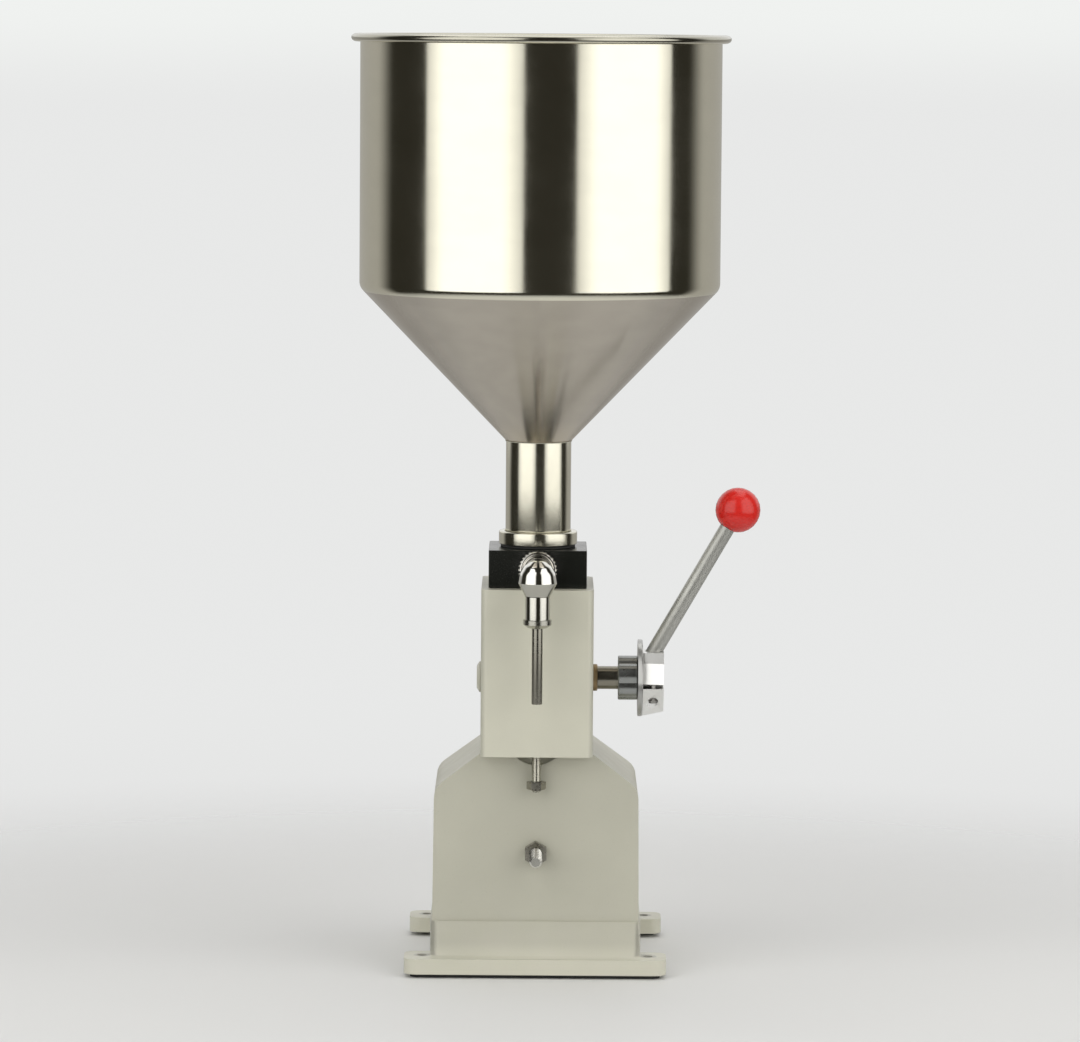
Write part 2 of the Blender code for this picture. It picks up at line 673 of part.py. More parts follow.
def make_column():
    half = COLUMN_WIDTH / 2
    column = box("column_housing", (-half, COLUMN_FRONT_Y, COLUMN_BOTTOM_Z),
                 (half, COLUMN_REAR_Y, COLUMN_TOP_Z), "beige_paint", COLUMN_EDGE, True, 3)
    inner_front = COLUMN_FRONT_Y + COLUMN_FRONT_WALL
    hollow = box("column_hollow", (-COLUMN_INNER_X, inner_front, COLUMN_BOTTOM_Z + COLUMN_FLOOR),
                 (COLUMN_INNER_X, COLUMN_REAR_Y + PAST, COLUMN_TOP_Z - COLUMN_ROOF))
    cut(column, hollow)
    cut(column, hole("sleeve_hole", SLEEVE_RADIUS + GAP, (0, 0, COLUMN_TOP_Z), 0.04, segments=FINE))
    cut(column, hole("sleeve_seat", SLEEVE_FLANGE_RADIUS + GAP, (0, 0, COLUMN_TOP_Z),
                     2 * (SLEEVE_FLANGE_THICKNESS + GAP), segments=FINE))
    cut(column, hole("bush_bore", BUSH_RADIUS + GAP, (0, SHAFT_Y, SHAFT_Z), 0.2, "X", MEDIUM))
    cut(column, hole("stop_screw_hole", STOP_HOLE_RADIUS, (0, STOP_SCREW_Y, COLUMN_BOTTOM_Z), 0.03))
    for i, (x, y) in enumerate(column_bolt_places()):
        cut(column, hole(f"column_thread_{i}", M8[0] + RUN, (x, y, COLUMN_BOTTOM_Z), 0.03))
    for i, (x, y) in enumerate(block_screw_places()):
        cut(column, hole(f"block_screw_hole_{i}", M5[0] + RUN, (x, y, COLUMN_TOP_Z), 0.04))
    for i, (x, z) in enumerate(back_cover_screw_places()):
        cut(column, hole(f"back_thread_{i}", M3[0] + RUN, (x, COLUMN_REAR_Y, z), 0.02, "Y"))
    smooth(column)


def make_column_bolts():
    seat = BASE_TOP_Z - BASE_ROOF - GAP
    length = BASE_ROOF + COLUMN_FLOOR + GAP
    for i, (x, y) in enumerate(column_bolt_places()):
        screw(f"column_bolt_{i + 1}", M8, (x, y, seat), length, "ground_steel", flip=True)


def make_back_cover():
    half = COLUMN_WIDTH / 2 - BACK_COVER_MARGIN
    rear = COLUMN_REAR_Y + GAP
    cover = box("column_back_cover", (-half, rear, COLUMN_BOTTOM_Z + BACK_COVER_MARGIN),
                (half, rear + BACK_COVER_THICKNESS, COLUMN_TOP_Z - BACK_COVER_MARGIN), "beige_paint")
    for i, (x, z) in enumerate(back_cover_screw_places()):
        cut(cover, hole(f"back_hole_{i}", M3[0] + RUN, (x, rear, z), 0.02, "Y"))
        screw(f"back_cover_screw_{i + 1}", M3, (x, rear + BACK_COVER_THICKNESS + GAP, z), BACK_SCREW_LENGTH,
              "ground_steel", "Y", flip=True)


# ---- cylinder, piston and rack --------------------------------------------------------------------------


def make_sleeve():
    top = COLUMN_TOP_Z
    flange = top - SLEEVE_FLANGE_THICKNESS
    foot = top - SLEEVE_LENGTH
    profile = [(SLEEVE_FLANGE_RADIUS, top), (SLEEVE_FLANGE_RADIUS, flange), (SLEEVE_RADIUS, flange),
               (SLEEVE_RADIUS, foot), (BORE_RADIUS + BORE_LEAD_IN, foot), (BORE_RADIUS, foot + BORE_LEAD_IN),
               (BORE_RADIUS, top)]
    smooth(turned("cylinder_sleeve", profile, "polished_steel", True, FINE))


def make_piston():
    radius = BORE_RADIUS - 2 * RUN
    grooves = [PISTON_TOP_Z - SEAL_INSET, PISTON_BOTTOM_Z + SEAL_INSET + SEAL_WIDTH + 2 * GAP]
    profile = [(M8[1] + HEAD_PLAY, PISTON_TOP_Z), (radius, PISTON_TOP_Z)]
    for top in grooves:
        low = top - SEAL_WIDTH - 2 * GAP
        profile += [(radius, top), (radius - SEAL_GROOVE, top), (radius - SEAL_GROOVE, low), (radius, low)]
    head_seat = PISTON_TOP_Z - M8[2] - HEAD_PLAY
    profile += [(radius, PISTON_BOTTOM_Z), (M8[0] + RUN, PISTON_BOTTOM_Z), (M8[0] + RUN, head_seat),
                (M8[1] + HEAD_PLAY, head_seat)]
    head = turned("piston_head", profile, "satin_steel", True, FINE)
    smooth(head)
    pieces = [head]
    for name, top in zip(("piston_seal_upper", "piston_seal_lower"), grooves):
        ring = tube(name, BORE_RADIUS - RUN, radius - SEAL_GROOVE + GAP, top - GAP - SEAL_WIDTH, top - GAP,
                    "black_rubber", FINE)
        smooth(ring)
        pieces.append(ring)
    pieces.append(screw("piston_screw", M8, (0, 0, head_seat + GAP), PISTON_SCREW_LENGTH, "ground_steel"))
    return pieces


def rack_outline(top, bottom):
    """Side view of the rack in (depth, height). A gap between two teeth lies level with the shaft."""
    pitch = math.pi * MODULE
    tip, root = RACK_PITCH_Y - MODULE, RACK_PITCH_Y + 1.25 * MODULE
    lean = math.tan(PRESSURE_ANGLE)
    half_tip = pitch / 4 - MODULE * lean - BACKLASH / 2
    half_root = pitch / 4 + 1.25 * MODULE * lean - BACKLASH / 2
    reach = PINION_PITCH_RADIUS + 2 * MODULE
    count_up = math.floor((min(top, SHAFT_Z + reach) - SHAFT_Z) / pitch - 0.5)
    count_down = math.floor((SHAFT_Z - bottom) / pitch - 0.5)
    outline = [(RACK_BACK_Y, top), (RACK_BACK_Y, bottom), (root, bottom)]
    for k in range(-count_down, count_up):
        z = SHAFT_Z + (k + 0.5) * pitch
        outline += [(root, z - half_root), (tip, z - half_tip), (tip, z + half_tip), (root, z + half_root)]
    return outline + [(root, top)]


def make_rack():
    top, bottom = PISTON_BOTTOM_Z - GAP, ARM_TOP_Z + GAP
    rack = prism("rack", rack_outline(top, bottom), RACK_WIDTH, "ground_steel")
    rack.data.transform(Matrix.Rotation(math.pi / 2, 4, "Z"))
    rack.location = (RACK_WIDTH / 2, 0, 0)
    cut(rack, hole("rack_top_thread", M8[0] + RUN, (0, 0, top), 2 * RACK_THREAD_DEPTH))
    cut(rack, hole("rack_foot_thread", M5[0] + RUN, (0, 0, bottom), 2 * RACK_THREAD_DEPTH))
    return rack


def make_stop():
    """The arm under the rack, its screw and the hanging rod. The nut on the rod limits the stroke."""
    half = ARM_WIDTH / 2
    front = COLUMN_FRONT_Y + COLUMN_FRONT_WALL + 2 * GAP
    arm = box("stop_arm", (-half, front, ARM_BOTTOM_Z), (half, RACK_BACK_Y, ARM_TOP_Z), "ground_steel",
              ARM_EDGE, True)
    cut(arm, hole("arm_screw_hole", M5[0] + RUN, (0, 0, ARM_TOP_Z), 0.04))
    cut(arm, hole("arm_head_hole", M5[1] + RUN, (0, 0, ARM_BOTTOM_Z), 2 * ARM_HEAD_DEPTH))
    cut(arm, hole("arm_thread", STOP_SCREW_RADIUS + RUN, (0, STOP_SCREW_Y, ARM_TOP_Z), 0.04))
    bolt = screw("arm_screw", (M5[0], M5[1], ARM_HEAD_HEIGHT), (0, 0, ARM_BOTTOM_Z + ARM_HEAD_DEPTH - GAP),
                 ARM_SCREW_LENGTH, "ground_steel", flip=True)
    rod = disc("stop_rod", STOP_SCREW_RADIUS, STOP_NUT_TOP_Z - STOP_NUT_HEIGHT - FREE_THREAD, ARM_TOP_Z,
               "chrome", COARSE, EDGE_BREAK, EDGE_BREAK)
    smooth(place(rod, (0, STOP_SCREW_Y, 0)))
    return [arm, bolt, rod]


def make_stop_nut():
    nut = hexagon("stop_nut", STOP_NUT_SIZE, STOP_NUT_TOP_Z - STOP_NUT_HEIGHT, STOP_NUT_TOP_Z, "chrome")
    nut.location = (0, STOP_SCREW_Y, 0)
    nut.rotation_euler = (0, 0, math.radians(30))
    cut(nut, hole("stop_nut_bore", STOP_SCREW_RADIUS + RUN, (0, STOP_SCREW_Y, STOP_NUT_Z), 0.03))
    return nut


# ---- shaft and lever ------------------------------------------------------------------------------------


def involute_half_angle(radius, base, half_at_base):
    """Half the angle that a tooth spans at a radius on its involute flank."""
    if radius <= base:
        return half_at_base
    roll = math.sqrt((radius / base) ** 2 - 1)
    return half_at_base - (roll - math.atan(roll))


def pinion_outline():
    """Involute teeth, one of them pointing at the rack."""
    pitch_radius = PINION_PITCH_RADIUS
    base = pitch_radius * math.cos(PRESSURE_ANGLE)
    tip, root = pitch_radius + MODULE * 0.95, pitch_radius - 1.25 * MODULE
    thinning = BACKLASH / (2 * pitch_radius)
    half_at_base = math.pi / (2 * PINION_TEETH) - thinning + math.tan(PRESSURE_ANGLE) - PRESSURE_ANGLE
    radii = [root, base, (base + tip) / 2, tip]
    outline = []
    for tooth in range(PINION_TEETH):
        middle = math.pi / 2 + 2 * math.pi * tooth / PINION_TEETH
        flank = [(r, involute_half_angle(r, base, half_at_base)) for r in radii]
        for r, half in flank:
            outline.append((r * math.cos(middle - half), r * math.sin(middle - half)))
        for r, half in reversed(flank):
            outline.append((r * math.cos(middle + half), r * math.sin(middle + half)))
    return outline


def make_pinion():
    pinion = prism("pinion", pinion_outline(), PINION_WIDTH, "ground_steel")
    pinion.data.transform(Matrix.Rotation(math.pi / 2, 4, "Z"))
    pinion.location = (PINION_WIDTH / 2, SHAFT_Y, SHAFT_Z)
    pinion.rotation_euler = (-math.pi / 2, 0, 0)
    cut(pinion, hole("pinion_bore", SHAFT_THIN_RADIUS + RUN, (0, SHAFT_Y, SHAFT_Z), 0.04, "X", MEDIUM))
    slot = KEY_SIZE / 2 + GAP
    reach = SHAFT_THIN_RADIUS + KEY_SIZE / 4 + GAP
    cut(pinion, box("pinion_keyway", (-0.02, SHAFT_Y - slot, SHAFT_Z), (0.02, SHAFT_Y + slot, SHAFT_Z + reach)))
    return pinion


def make_shaft():
    left = -COLUMN_INNER_X - COLUMN_SIDE_WALL / 2
    shoulder = COLUMN_INNER_X - COLUMN_SIDE_WALL
    right = HUB_OUTER_X - GAP
    profile = [(0, right), (SHAFT_TAIL_RADIUS - EDGE_BREAK, right), (SHAFT_TAIL_RADIUS, right - EDGE_BREAK),
               (SHAFT_TAIL_RADIUS, COLLAR_OUTER_X), (SHAFT_RADIUS, COLLAR_OUTER_X), (SHAFT_RADIUS, shoulder),
               (SHAFT_THIN_RADIUS, shoulder), (SHAFT_THIN_RADIUS, left), (0, left)]
    shaft = turned("pinion_shaft", profile, "polished_steel")
    place(shaft, (0, SHAFT_Y, SHAFT_Z), "X")
    half = PINION_WIDTH / 2 - KEY_END
    flat = KEY_SIZE / 2
    seat = SHAFT_THIN_RADIUS - KEY_SIZE / 2
    cut(shaft, box("shaft_keyway", (-half - GAP, SHAFT_Y - flat - GAP, SHAFT_Z + seat - GAP),
                   (half + GAP, SHAFT_Y + flat + GAP, SHAFT_Z + SHAFT_RADIUS)))
    ring_x = -COLUMN_INNER_X + RING_OFFSET
    ring_half = RING_WIDTH / 2
    groove_radius = SHAFT_THIN_RADIUS - RING_GROOVE
    groove = tube("ring_groove", SHAFT_RADIUS, groove_radius, -ring_half - GAP, ring_half + GAP)
    cut(shaft, place(groove, (ring_x, SHAFT_Y, SHAFT_Z), "X"))
    smooth(shaft)
    key = box("pinion_key", (-half, SHAFT_Y - flat, SHAFT_Z + seat),
              (half, SHAFT_Y + flat, SHAFT_Z + seat + KEY_SIZE * 0.75), "ground_steel")
    ring = tube("retaining_ring", SHAFT_THIN_RADIUS + RING_REACH, groove_radius + GAP, -ring_half, ring_half,
                "ground_steel")
    place(ring, (ring_x, SHAFT_Y, SHAFT_Z), "X")
    mouth = RING_MOUTH / 2
    cut(ring, box("ring_mouth", (ring_x - RING_WIDTH, SHAFT_Y - mouth, SHAFT_Z),
                  (ring_x + RING_WIDTH, SHAFT_Y + mouth, SHAFT_Z + 2 * SHAFT_RADIUS)))
    return [shaft, key, ring]


def make_bushes():
    wall = COLUMN_WIDTH / 2
    right = tube("bush_right", BUSH_RADIUS, SHAFT_RADIUS + RUN, COLUMN_INNER_X - BUSH_STANDIN,
                 wall + BUSH_STANDOUT, "bronze", MEDIUM, BUSH_EDGE)
    smooth(place(right, (0, SHAFT_Y, SHAFT_Z), "X"))
    left = tube("bush_left", BUSH_RADIUS, SHAFT_THIN_RADIUS + RUN, -wall + GAP, -COLUMN_INNER_X + BUSH_STANDIN,
                "bronze")
    smooth(place(left, (0, SHAFT_Y, SHAFT_Z), "X"))
    inner = -wall - GAP
    spigot = SHAFT_THIN_RADIUS
    tip = -COLUMN_INNER_X - COLUMN_SIDE_WALL / 2 - GAP
    profile = [(0, tip), (spigot, tip), (spigot, inner), (CAP_RADIUS, inner),
               (CAP_RADIUS, inner - CAP_THICKNESS / 3), (CAP_TOP_RADIUS, inner - CAP_THICKNESS),
               (0, inner - CAP_THICKNESS)]
    cap = turned("shaft_end_cap", profile, "beige_paint")
    smooth(place(cap, (0, SHAFT_Y, SHAFT_Z), "X"), 20)


def hub_outline():
    """Side view of the hub's body about the shaft: a blunt nose at the front, split by the clamp slot."""
    return [(-0.024, -0.004), (-0.017, 0.013), (-0.014, 0.021), (0.013, 0.021), (0.025, 0.009),
            (0.026, -0.008), (0.014, -0.0265), (-0.006, -0.029)]


def rod_point(distance):
    """A point on the lever rod's axis, measured from the shaft."""
    return Vector((ROD_FOOT_X + distance * math.sin(ROD_LEAN), SHAFT_Y, SHAFT_Z + distance * math.cos(ROD_LEAN)))


def rod_cylinder(name, radius, start, end, mat=None, chamfer=0.0, segments=MEDIUM):
    obj = disc(name, radius, start, end, mat, segments, chamfer, chamfer)
    obj.location = rod_point(0)
    obj.rotation_euler = (0, ROD_LEAN, 0)
    return obj


def make_hub():
    body_width = HUB_WIDTH - HUB_DISC + GAP
    hub = disc("lever_hub", HUB_RADIUS, HUB_INNER_X, HUB_INNER_X + HUB_DISC, "chrome", FINE, EDGE_BREAK)
    place(hub, (0, SHAFT_Y, SHAFT_Z), "X")
    body = prism("hub_body", hub_outline(), body_width)
    body.data.transform(Matrix.Rotation(math.pi / 2, 4, "Z"))
    for vert in body.data.vertices:  # the lower half draws in towards its outer end
        if vert.co.x > -body_width / 2 and vert.co.z < -0.02:
            vert.co.z *= HUB_TAPER
    body.location = (HUB_OUTER_X, SHAFT_Y, SHAFT_Z)
    join(hub, body)
    cut(hub, hole("hub_bore", SHAFT_TAIL_RADIUS + RUN, (HUB_INNER_X, SHAFT_Y, SHAFT_Z), 0.1, "X", MEDIUM))
    slot = box("hub_slot", (HUB_INNER_X + HUB_DISC, SHAFT_Y - HUB_RADIUS - PAST, SHAFT_Z - HUB_SLOT_LOW),
               (HUB_OUTER_X + PAST, SHAFT_Y - SHAFT_TAIL_RADIUS + HUB_SLOT_END, SHAFT_Z - HUB_SLOT_HIGH))
    cut(hub, slot)
    start = rod_start()
    cut(hub, rod_cylinder("rod_socket", ROD_RADIUS + GAP, start - GAP, start + 2 * HUB_RADIUS))
    x, y, seat = HUB_INNER_X + CLAMP_X, SHAFT_Y - CLAMP_Y, SHAFT_Z - CLAMP_SEAT
    cut(hub, hole("clamp_head_hole", M4[1] + RUN, (x, y, seat - HUB_RADIUS / 2), HUB_RADIUS))
    length = CLAMP_SEAT + CLAMP_THREAD + EDGE_BREAK
    cut(hub, hole("clamp_thread", M4[0] + RUN, (x, y, seat + length / 2 - EDGE_BREAK), length))
    clamp = screw("hub_clamp_screw", M4, (x, y, seat - GAP), CLAMP_LENGTH, "ground_steel", flip=True)
    smooth(hub, 30)
    return [hub, clamp]


def rod_start():
    """How far up its axis the rod starts, clear of the shaft's tail."""
    return (SHAFT_TAIL_RADIUS + ROD_CLEAR + ROD_RADIUS * math.sin(ROD_LEAN)) / math.cos(ROD_LEAN)


def make_lever():
    socket = BALL_RADIUS * BALL_SOCKET
    rod = rod_cylinder("lever_rod", ROD_RADIUS, rod_start(), ROD_REACH - socket, "chrome", EDGE_BREAK)
    smooth(rod)
    knob = ball("ball_knob", BALL_RADIUS, rod_point(ROD_REACH), "red_plastic", 24)
    cut(knob, rod_cylinder("knob_socket", ROD_RADIUS + GAP, ROD_REACH - BALL_RADIUS - PAST,
                           ROD_REACH - socket + GAP))
    collar = tube("shaft_collar", COLLAR_RADIUS, SHAFT_RADIUS + RUN, COLLAR_INNER_X, COLLAR_OUTER_X, "chrome",
                  MEDIUM, EDGE_BREAK)
    place(collar, (0, SHAFT_Y, SHAFT_Z), "X")
    smooth(collar)
    middle = (COLLAR_INNER_X + COLLAR_OUTER_X) / 2
    seat = SHAFT_Z - SHAFT_RADIUS - GAP
    length = COLLAR_RADIUS - SHAFT_RADIUS - SET_SCREW_DEPTH
    cut(collar, hole("set_screw_hole", SET_SCREW_RADIUS + GAP, (middle, SHAFT_Y, SHAFT_Z - COLLAR_RADIUS),
                     2 * COLLAR_RADIUS))
    set_screw = disc("collar_set_screw", SET_SCREW_RADIUS, -length, 0, "ground_steel", COARSE)
    place(set_screw, (middle, SHAFT_Y, seat))
    return [rod, knob, collar, set_screw]


# ---- valve block and outlet -----------------------------------------------------------------------------


def make_block():
    half = BLOCK_SIZE / 2
    block = box("valve_block", (-half, -half, BLOCK_BOTTOM_Z), (half, half, BLOCK_TOP_Z), "black_plastic",
                BLOCK_EDGE)
    port_floor = BLOCK_TOP_Z - PORT_DEPTH
    profile = [(PORT_RADIUS, BLOCK_TOP_Z + PAST), (PORT_RADIUS, port_floor), (INLET_HOLE_RADIUS, port_floor),
               (INLET_HOLE_RADIUS, INLET_SEAT_Z), (CHAMBER_RADIUS, INLET_SEAT_Z - INLET_SEAT_HEIGHT),
               (CHAMBER_RADIUS, BLOCK_BOTTOM_Z - PAST), (0, BLOCK_BOTTOM_Z - PAST)]
    cut(block, turned("inlet_way", [(0, BLOCK_TOP_Z + PAST)] + profile, segments=FINE))
    way = half - CHAMBER_RADIUS + EDGE_BREAK
    cut(block, hole("outlet_way", OUTLET_BORE_RADIUS, (0, -half, OUTLET_Z), 2 * way, "Y"))
    cut(block, hole("outlet_socket", OUTLET_PIPE_RADIUS + GAP, (0, -half, OUTLET_Z), 2 * (OUTLET_SPIGOT + GAP),
                    "Y", MEDIUM))
    for i, (x, y) in enumerate(block_screw_places()):
        cut(block, hole(f"block_thread_{i}", M5[0] + RUN, (x, y, BLOCK_BOTTOM_Z), 2 * BLOCK_THREAD_DEPTH))
        screw(f"block_screw_{i + 1}", M5, (x, y, COLUMN_TOP_Z - COLUMN_ROOF - GAP), COLUMN_ROOF + BLOCK_SCREW_REACH,
              "ground_steel", flip=True)


def make_inlet_valve():
    radius = CHAMBER_RADIUS - GAP
    top = BLOCK_BOTTOM_Z + CAGE_THICKNESS
    cage = tube("inlet_cage", radius, radius - CAGE_RING, BLOCK_BOTTOM_Z, top, "polished_steel")
    reach = radius - CAGE_RING / 3
    bar = box("cage_bar", (-reach, -CAGE_BAR / 2, BLOCK_BOTTOM_Z + GAP), (reach, CAGE_BAR / 2, top - GAP))
    join(cage, bar)
    ball("inlet_ball", INLET_BALL_RADIUS, (0, 0, top + INLET_BALL_RADIUS + GAP), "polished_steel")


def make_elbow():
    tip = BLOCK_SIZE / -2 + OUTLET_SPIGOT
    profile = [(0, ELBOW_CROWN_Z), (0.0035, ELBOW_CROWN_Z - 0.0008), (0.0062, ELBOW_CROWN_Z - 0.0034),
               (0.0104, ELBOW_CROWN_Z - 0.0094), (0.0133, ELBOW_CROWN_Z - 0.0138), (ELBOW_RADIUS, ELBOW_EDGE_Z),
               (CONNECTOR_RADIUS, ELBOW_FOOT_Z), (0, ELBOW_FOOT_Z)]
    elbow = turned("outlet_elbow", profile, "chrome")
    elbow.location = (0, OUTLET_Y, 0)
    pipe = disc("elbow_pipe", OUTLET_PIPE_RADIUS, 0, tip - OUTLET_Y)
    join(elbow, place(pipe, (0, tip, OUTLET_Z), "Y"))
    bore = disc("elbow_bore", OUTLET_BORE_RADIUS, -PAST, tip - OUTLET_Y + OUTLET_BORE_RADIUS * 0.5, segments=COARSE)
    socket = disc("elbow_socket", CONNECTOR_SPIGOT_RADIUS + GAP, ELBOW_FOOT_Z - PAST,
                  ELBOW_FOOT_Z + CONNECTOR_SPIGOT + GAP)
    drop = disc("elbow_drop", OUTLET_BORE_RADIUS, ELBOW_FOOT_Z, OUTLET_Z, segments=COARSE)
    cut(elbow, place(bore, (0, tip, OUTLET_Z), "Y"), place(socket, (0, OUTLET_Y, 0)), place(drop, (0, OUTLET_Y, 0)))
    smooth(elbow, 25)
    front = -BLOCK_SIZE / 2 - GAP
    nut = tube("outlet_union_nut", UNION_RADIUS, OUTLET_PIPE_RADIUS + GAP, 0, UNION_WIDTH, "chrome", FINE,
               EDGE_BREAK)
    smooth(place(nut, (0, front, OUTLET_Z), "Y"))


def connector_top():
    return ELBOW_FOOT_Z - GAP


def nozzle_ring_top():
    return connector_top() - CONNECTOR_LENGTH - GAP


def outlet_ball_z():
    seat = connector_top() - OUTLET_SEAT_DROP
    return seat - math.sqrt(OUTLET_BALL_RADIUS ** 2 - OUTLET_SEAT_RADIUS ** 2) - GAP


def make_nozzle():
    top = connector_top()
    foot = top - CONNECTOR_LENGTH
    seat = top - OUTLET_SEAT_DROP
    socket, socket_top = NOZZLE_RING_RADIUS - NOZZLE_RING_WALL, foot + CONNECTOR_SOCKET
    profile = [(CONNECTOR_SPIGOT_RADIUS, top + CONNECTOR_SPIGOT), (CONNECTOR_SPIGOT_RADIUS, top),
               (CONNECTOR_RADIUS, top), (CONNECTOR_RADIUS, foot), (socket, foot), (socket, socket_top),
               (CONNECTOR_CHAMBER_RADIUS, socket_top),
               (CONNECTOR_CHAMBER_RADIUS, seat), (OUTLET_SEAT_RADIUS, seat),
               (OUTLET_SEAT_RADIUS, top + CONNECTOR_SPIGOT)]
    connector = turned("nozzle_connector", profile, "chrome", True)
    connector.location = (0, OUTLET_Y, 0)
    smooth(connector)

    ring_top = nozzle_ring_top()
    ring_foot = ring_top - NOZZLE_RING_HEIGHT
    spigot_top = ring_top + CONNECTOR_SOCKET
    spigot = socket - GAP
    inwards, upwards = NOZZLE_RING_CHAMFER
    tube_top = ring_foot + NOZZLE_SOCKET
    profile = [(spigot, spigot_top), (spigot, ring_top), (NOZZLE_RING_RADIUS, ring_top),
               (NOZZLE_RING_RADIUS, ring_foot + upwards), (NOZZLE_RING_RADIUS - inwards, ring_foot),
               (NOZZLE_RADIUS + GAP, ring_foot), (NOZZLE_RADIUS + GAP, tube_top), (NOZZLE_BORE_RADIUS, tube_top),
               (NOZZLE_BORE_RADIUS, spigot_top)]
    ring = turned("nozzle_ring", profile, "chrome", True)
    ring.location = (0, OUTLET_Y, 0)
    smooth(ring, 25)
    nozzle = tube("nozzle_tube", NOZZLE_RADIUS, NOZZLE_BORE_RADIUS, NOZZLE_TIP_Z, tube_top - GAP, "polished_steel",
                  COARSE)
    nozzle.location = (0, OUTLET_Y, 0)
    smooth(nozzle)


def make_outlet_valve():
    """The ball that closes the outlet, and the coil spring that holds it shut."""
    z = outlet_ball_z()
    ball("outlet_ball", OUTLET_BALL_RADIUS, (0, OUTLET_Y, z), "polished_steel", COARSE)
    low = nozzle_ring_top() + CONNECTOR_SOCKET + GAP + SPRING_WIRE
    high = z - math.sqrt((OUTLET_BALL_RADIUS + GAP + SPRING_WIRE) ** 2 - SPRING_RADIUS ** 2)
    points_per_turn = 10
    count = int(SPRING_TURNS * points_per_turn)
    curve = bpy.data.curves.new("outlet_spring", "CURVE")
    curve.dimensions = "3D"
    curve.bevel_depth = SPRING_WIRE
    curve.bevel_resolution = 0
    curve.use_fill_caps = True
    spline = curve.splines.new("POLY")
    spline.points.add(count)
    for i, point in enumerate(spline.points):
        a = 2 * math.pi * i / points_per_turn
        point.co = (SPRING_RADIUS * math.cos(a), SPRING_RADIUS * math.sin(a), low + (high - low) * i / count, 1)
    spring = collect(bpy.data.objects.new("outlet_spring", curve), "ground_steel")
    spring.location = (0, OUTLET_Y, 0)


# ---- hopper ---------------------------------------------------------------------------------------------


def hopper_profile():
    """Rolled rim, upright wall, rounded knuckle and cone, down the outside and back up the inside."""
    neck = NECK_RADIUS
    slope = Vector((HOPPER_RADIUS - neck, KNUCKLE_Z - NECK_TOP_Z)).normalized()
    inner = Vector((HOPPER_RADIUS - HOPPER_WALL, 0))
    wall = HOPPER_WALL
    rim_centre = (HOPPER_RADIUS - wall + RIM_WIDTH / 2, RIM_Z)
    squash = RIM_HEIGHT / RIM_WIDTH
    wall_angle = -math.degrees(math.acos((rim_centre[0] - HOPPER_RADIUS) / (RIM_WIDTH / 2)))
    rim = arc(rim_centre, RIM_WIDTH / 2, 180, wall_angle, 8, squash)
    half = slope.angle(Vector((0, 1))) / 2
    lift = wall * math.tan(half)
    outer_corner = (HOPPER_RADIUS, KNUCKLE_Z)
    inner_corner = (inner.x, KNUCKLE_Z + lift)
    outer_foot = (neck, NECK_TOP_Z + GAP)
    inner_foot = (neck - wall, NECK_TOP_Z + GAP)
    outer = rounded([rim[-1], outer_corner, outer_foot], [0, KNUCKLE_RADIUS, 0], 3)
    back = rounded([inner_foot, inner_corner, rim[0]], [0, KNUCKLE_RADIUS - wall, 0], 3)
    return rim[:-1] + outer + back[:-1]


def make_hopper():
    shell = turned("hopper_shell", hopper_profile(), "polished_steel", True, LARGE)
    smooth(shell, 20)
    gasket_top = BLOCK_TOP_Z + GAP + GASKET_THICKNESS
    foot = gasket_top + GAP
    socket = FERRULE_TOP_Z - NECK_SOCKET
    spigot_foot = foot - SPIGOT_LENGTH
    bore = NECK_RADIUS - NECK_WALL
    profile = [(FERRULE_RADIUS - FERRULE_CHAMFER, FERRULE_TOP_Z), (FERRULE_RADIUS, FERRULE_TOP_Z - FERRULE_CHAMFER),
               (FERRULE_RADIUS, foot), (SPIGOT_RADIUS, foot), (SPIGOT_RADIUS, spigot_foot),
               (SPIGOT_BORE_RADIUS, spigot_foot), (SPIGOT_BORE_RADIUS, foot), (bore, socket),
               (NECK_RADIUS + GAP, socket), (NECK_RADIUS + GAP, FERRULE_TOP_Z)]
    ferrule = turned("hopper_ferrule", profile, "polished_steel", True, FINE)
    neck = tube("hopper_neck", NECK_RADIUS, bore, socket + GAP, NECK_TOP_Z, "polished_steel", FINE)
    gasket = tube("hopper_gasket", FERRULE_RADIUS - GASKET_INSET, SPIGOT_RADIUS + GAP, BLOCK_TOP_Z + GAP, gasket_top,
                  "black_rubber", FINE)
    for piece in (ferrule, neck, gasket):
        smooth(piece)
    return [shell, neck, ferrule, gasket]


# ---- the whole machine ----------------------------------------------------------------------------------


def main():
    clear_scene()
    make_materials()
    make_base()
    make_bottom_cover()
    make_feet()
    make_front_stud()
    make_column()
    make_column_bolts()
    make_back_cover()
    make_sleeve()
    make_block()
    make_elbow()
    make_nozzle()
    make_bushes()
    carry(pivot("lever_axis", (0, SHAFT_Y, SHAFT_Z)), [make_pinion(), *make_shaft(), *make_hub(), *make_lever()])
    carry(pivot("piston_axis", (0, 0, PISTON_BOTTOM_Z)), [*make_piston(), make_rack(), *make_stop()])
    carry(pivot("stop_nut_axis", (0, STOP_SCREW_Y, STOP_NUT_Z)), [make_stop_nut()])
    make_inlet_valve()
    make_outlet_valve()
    carry(pivot("hopper_axis", (0, 0, BLOCK_TOP_Z)), make_hopper())


main()
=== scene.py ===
"""Looks of the manual piston filler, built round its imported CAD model.

Every piece has an operator in the sidebar panel "Piston filler". Lengths are in metres, +Z is up, -Y is the
front with the nozzle and +X is the side with the lever.
"""

import json
import math

import bmesh
import bpy
from mathutils import Matrix, Vector


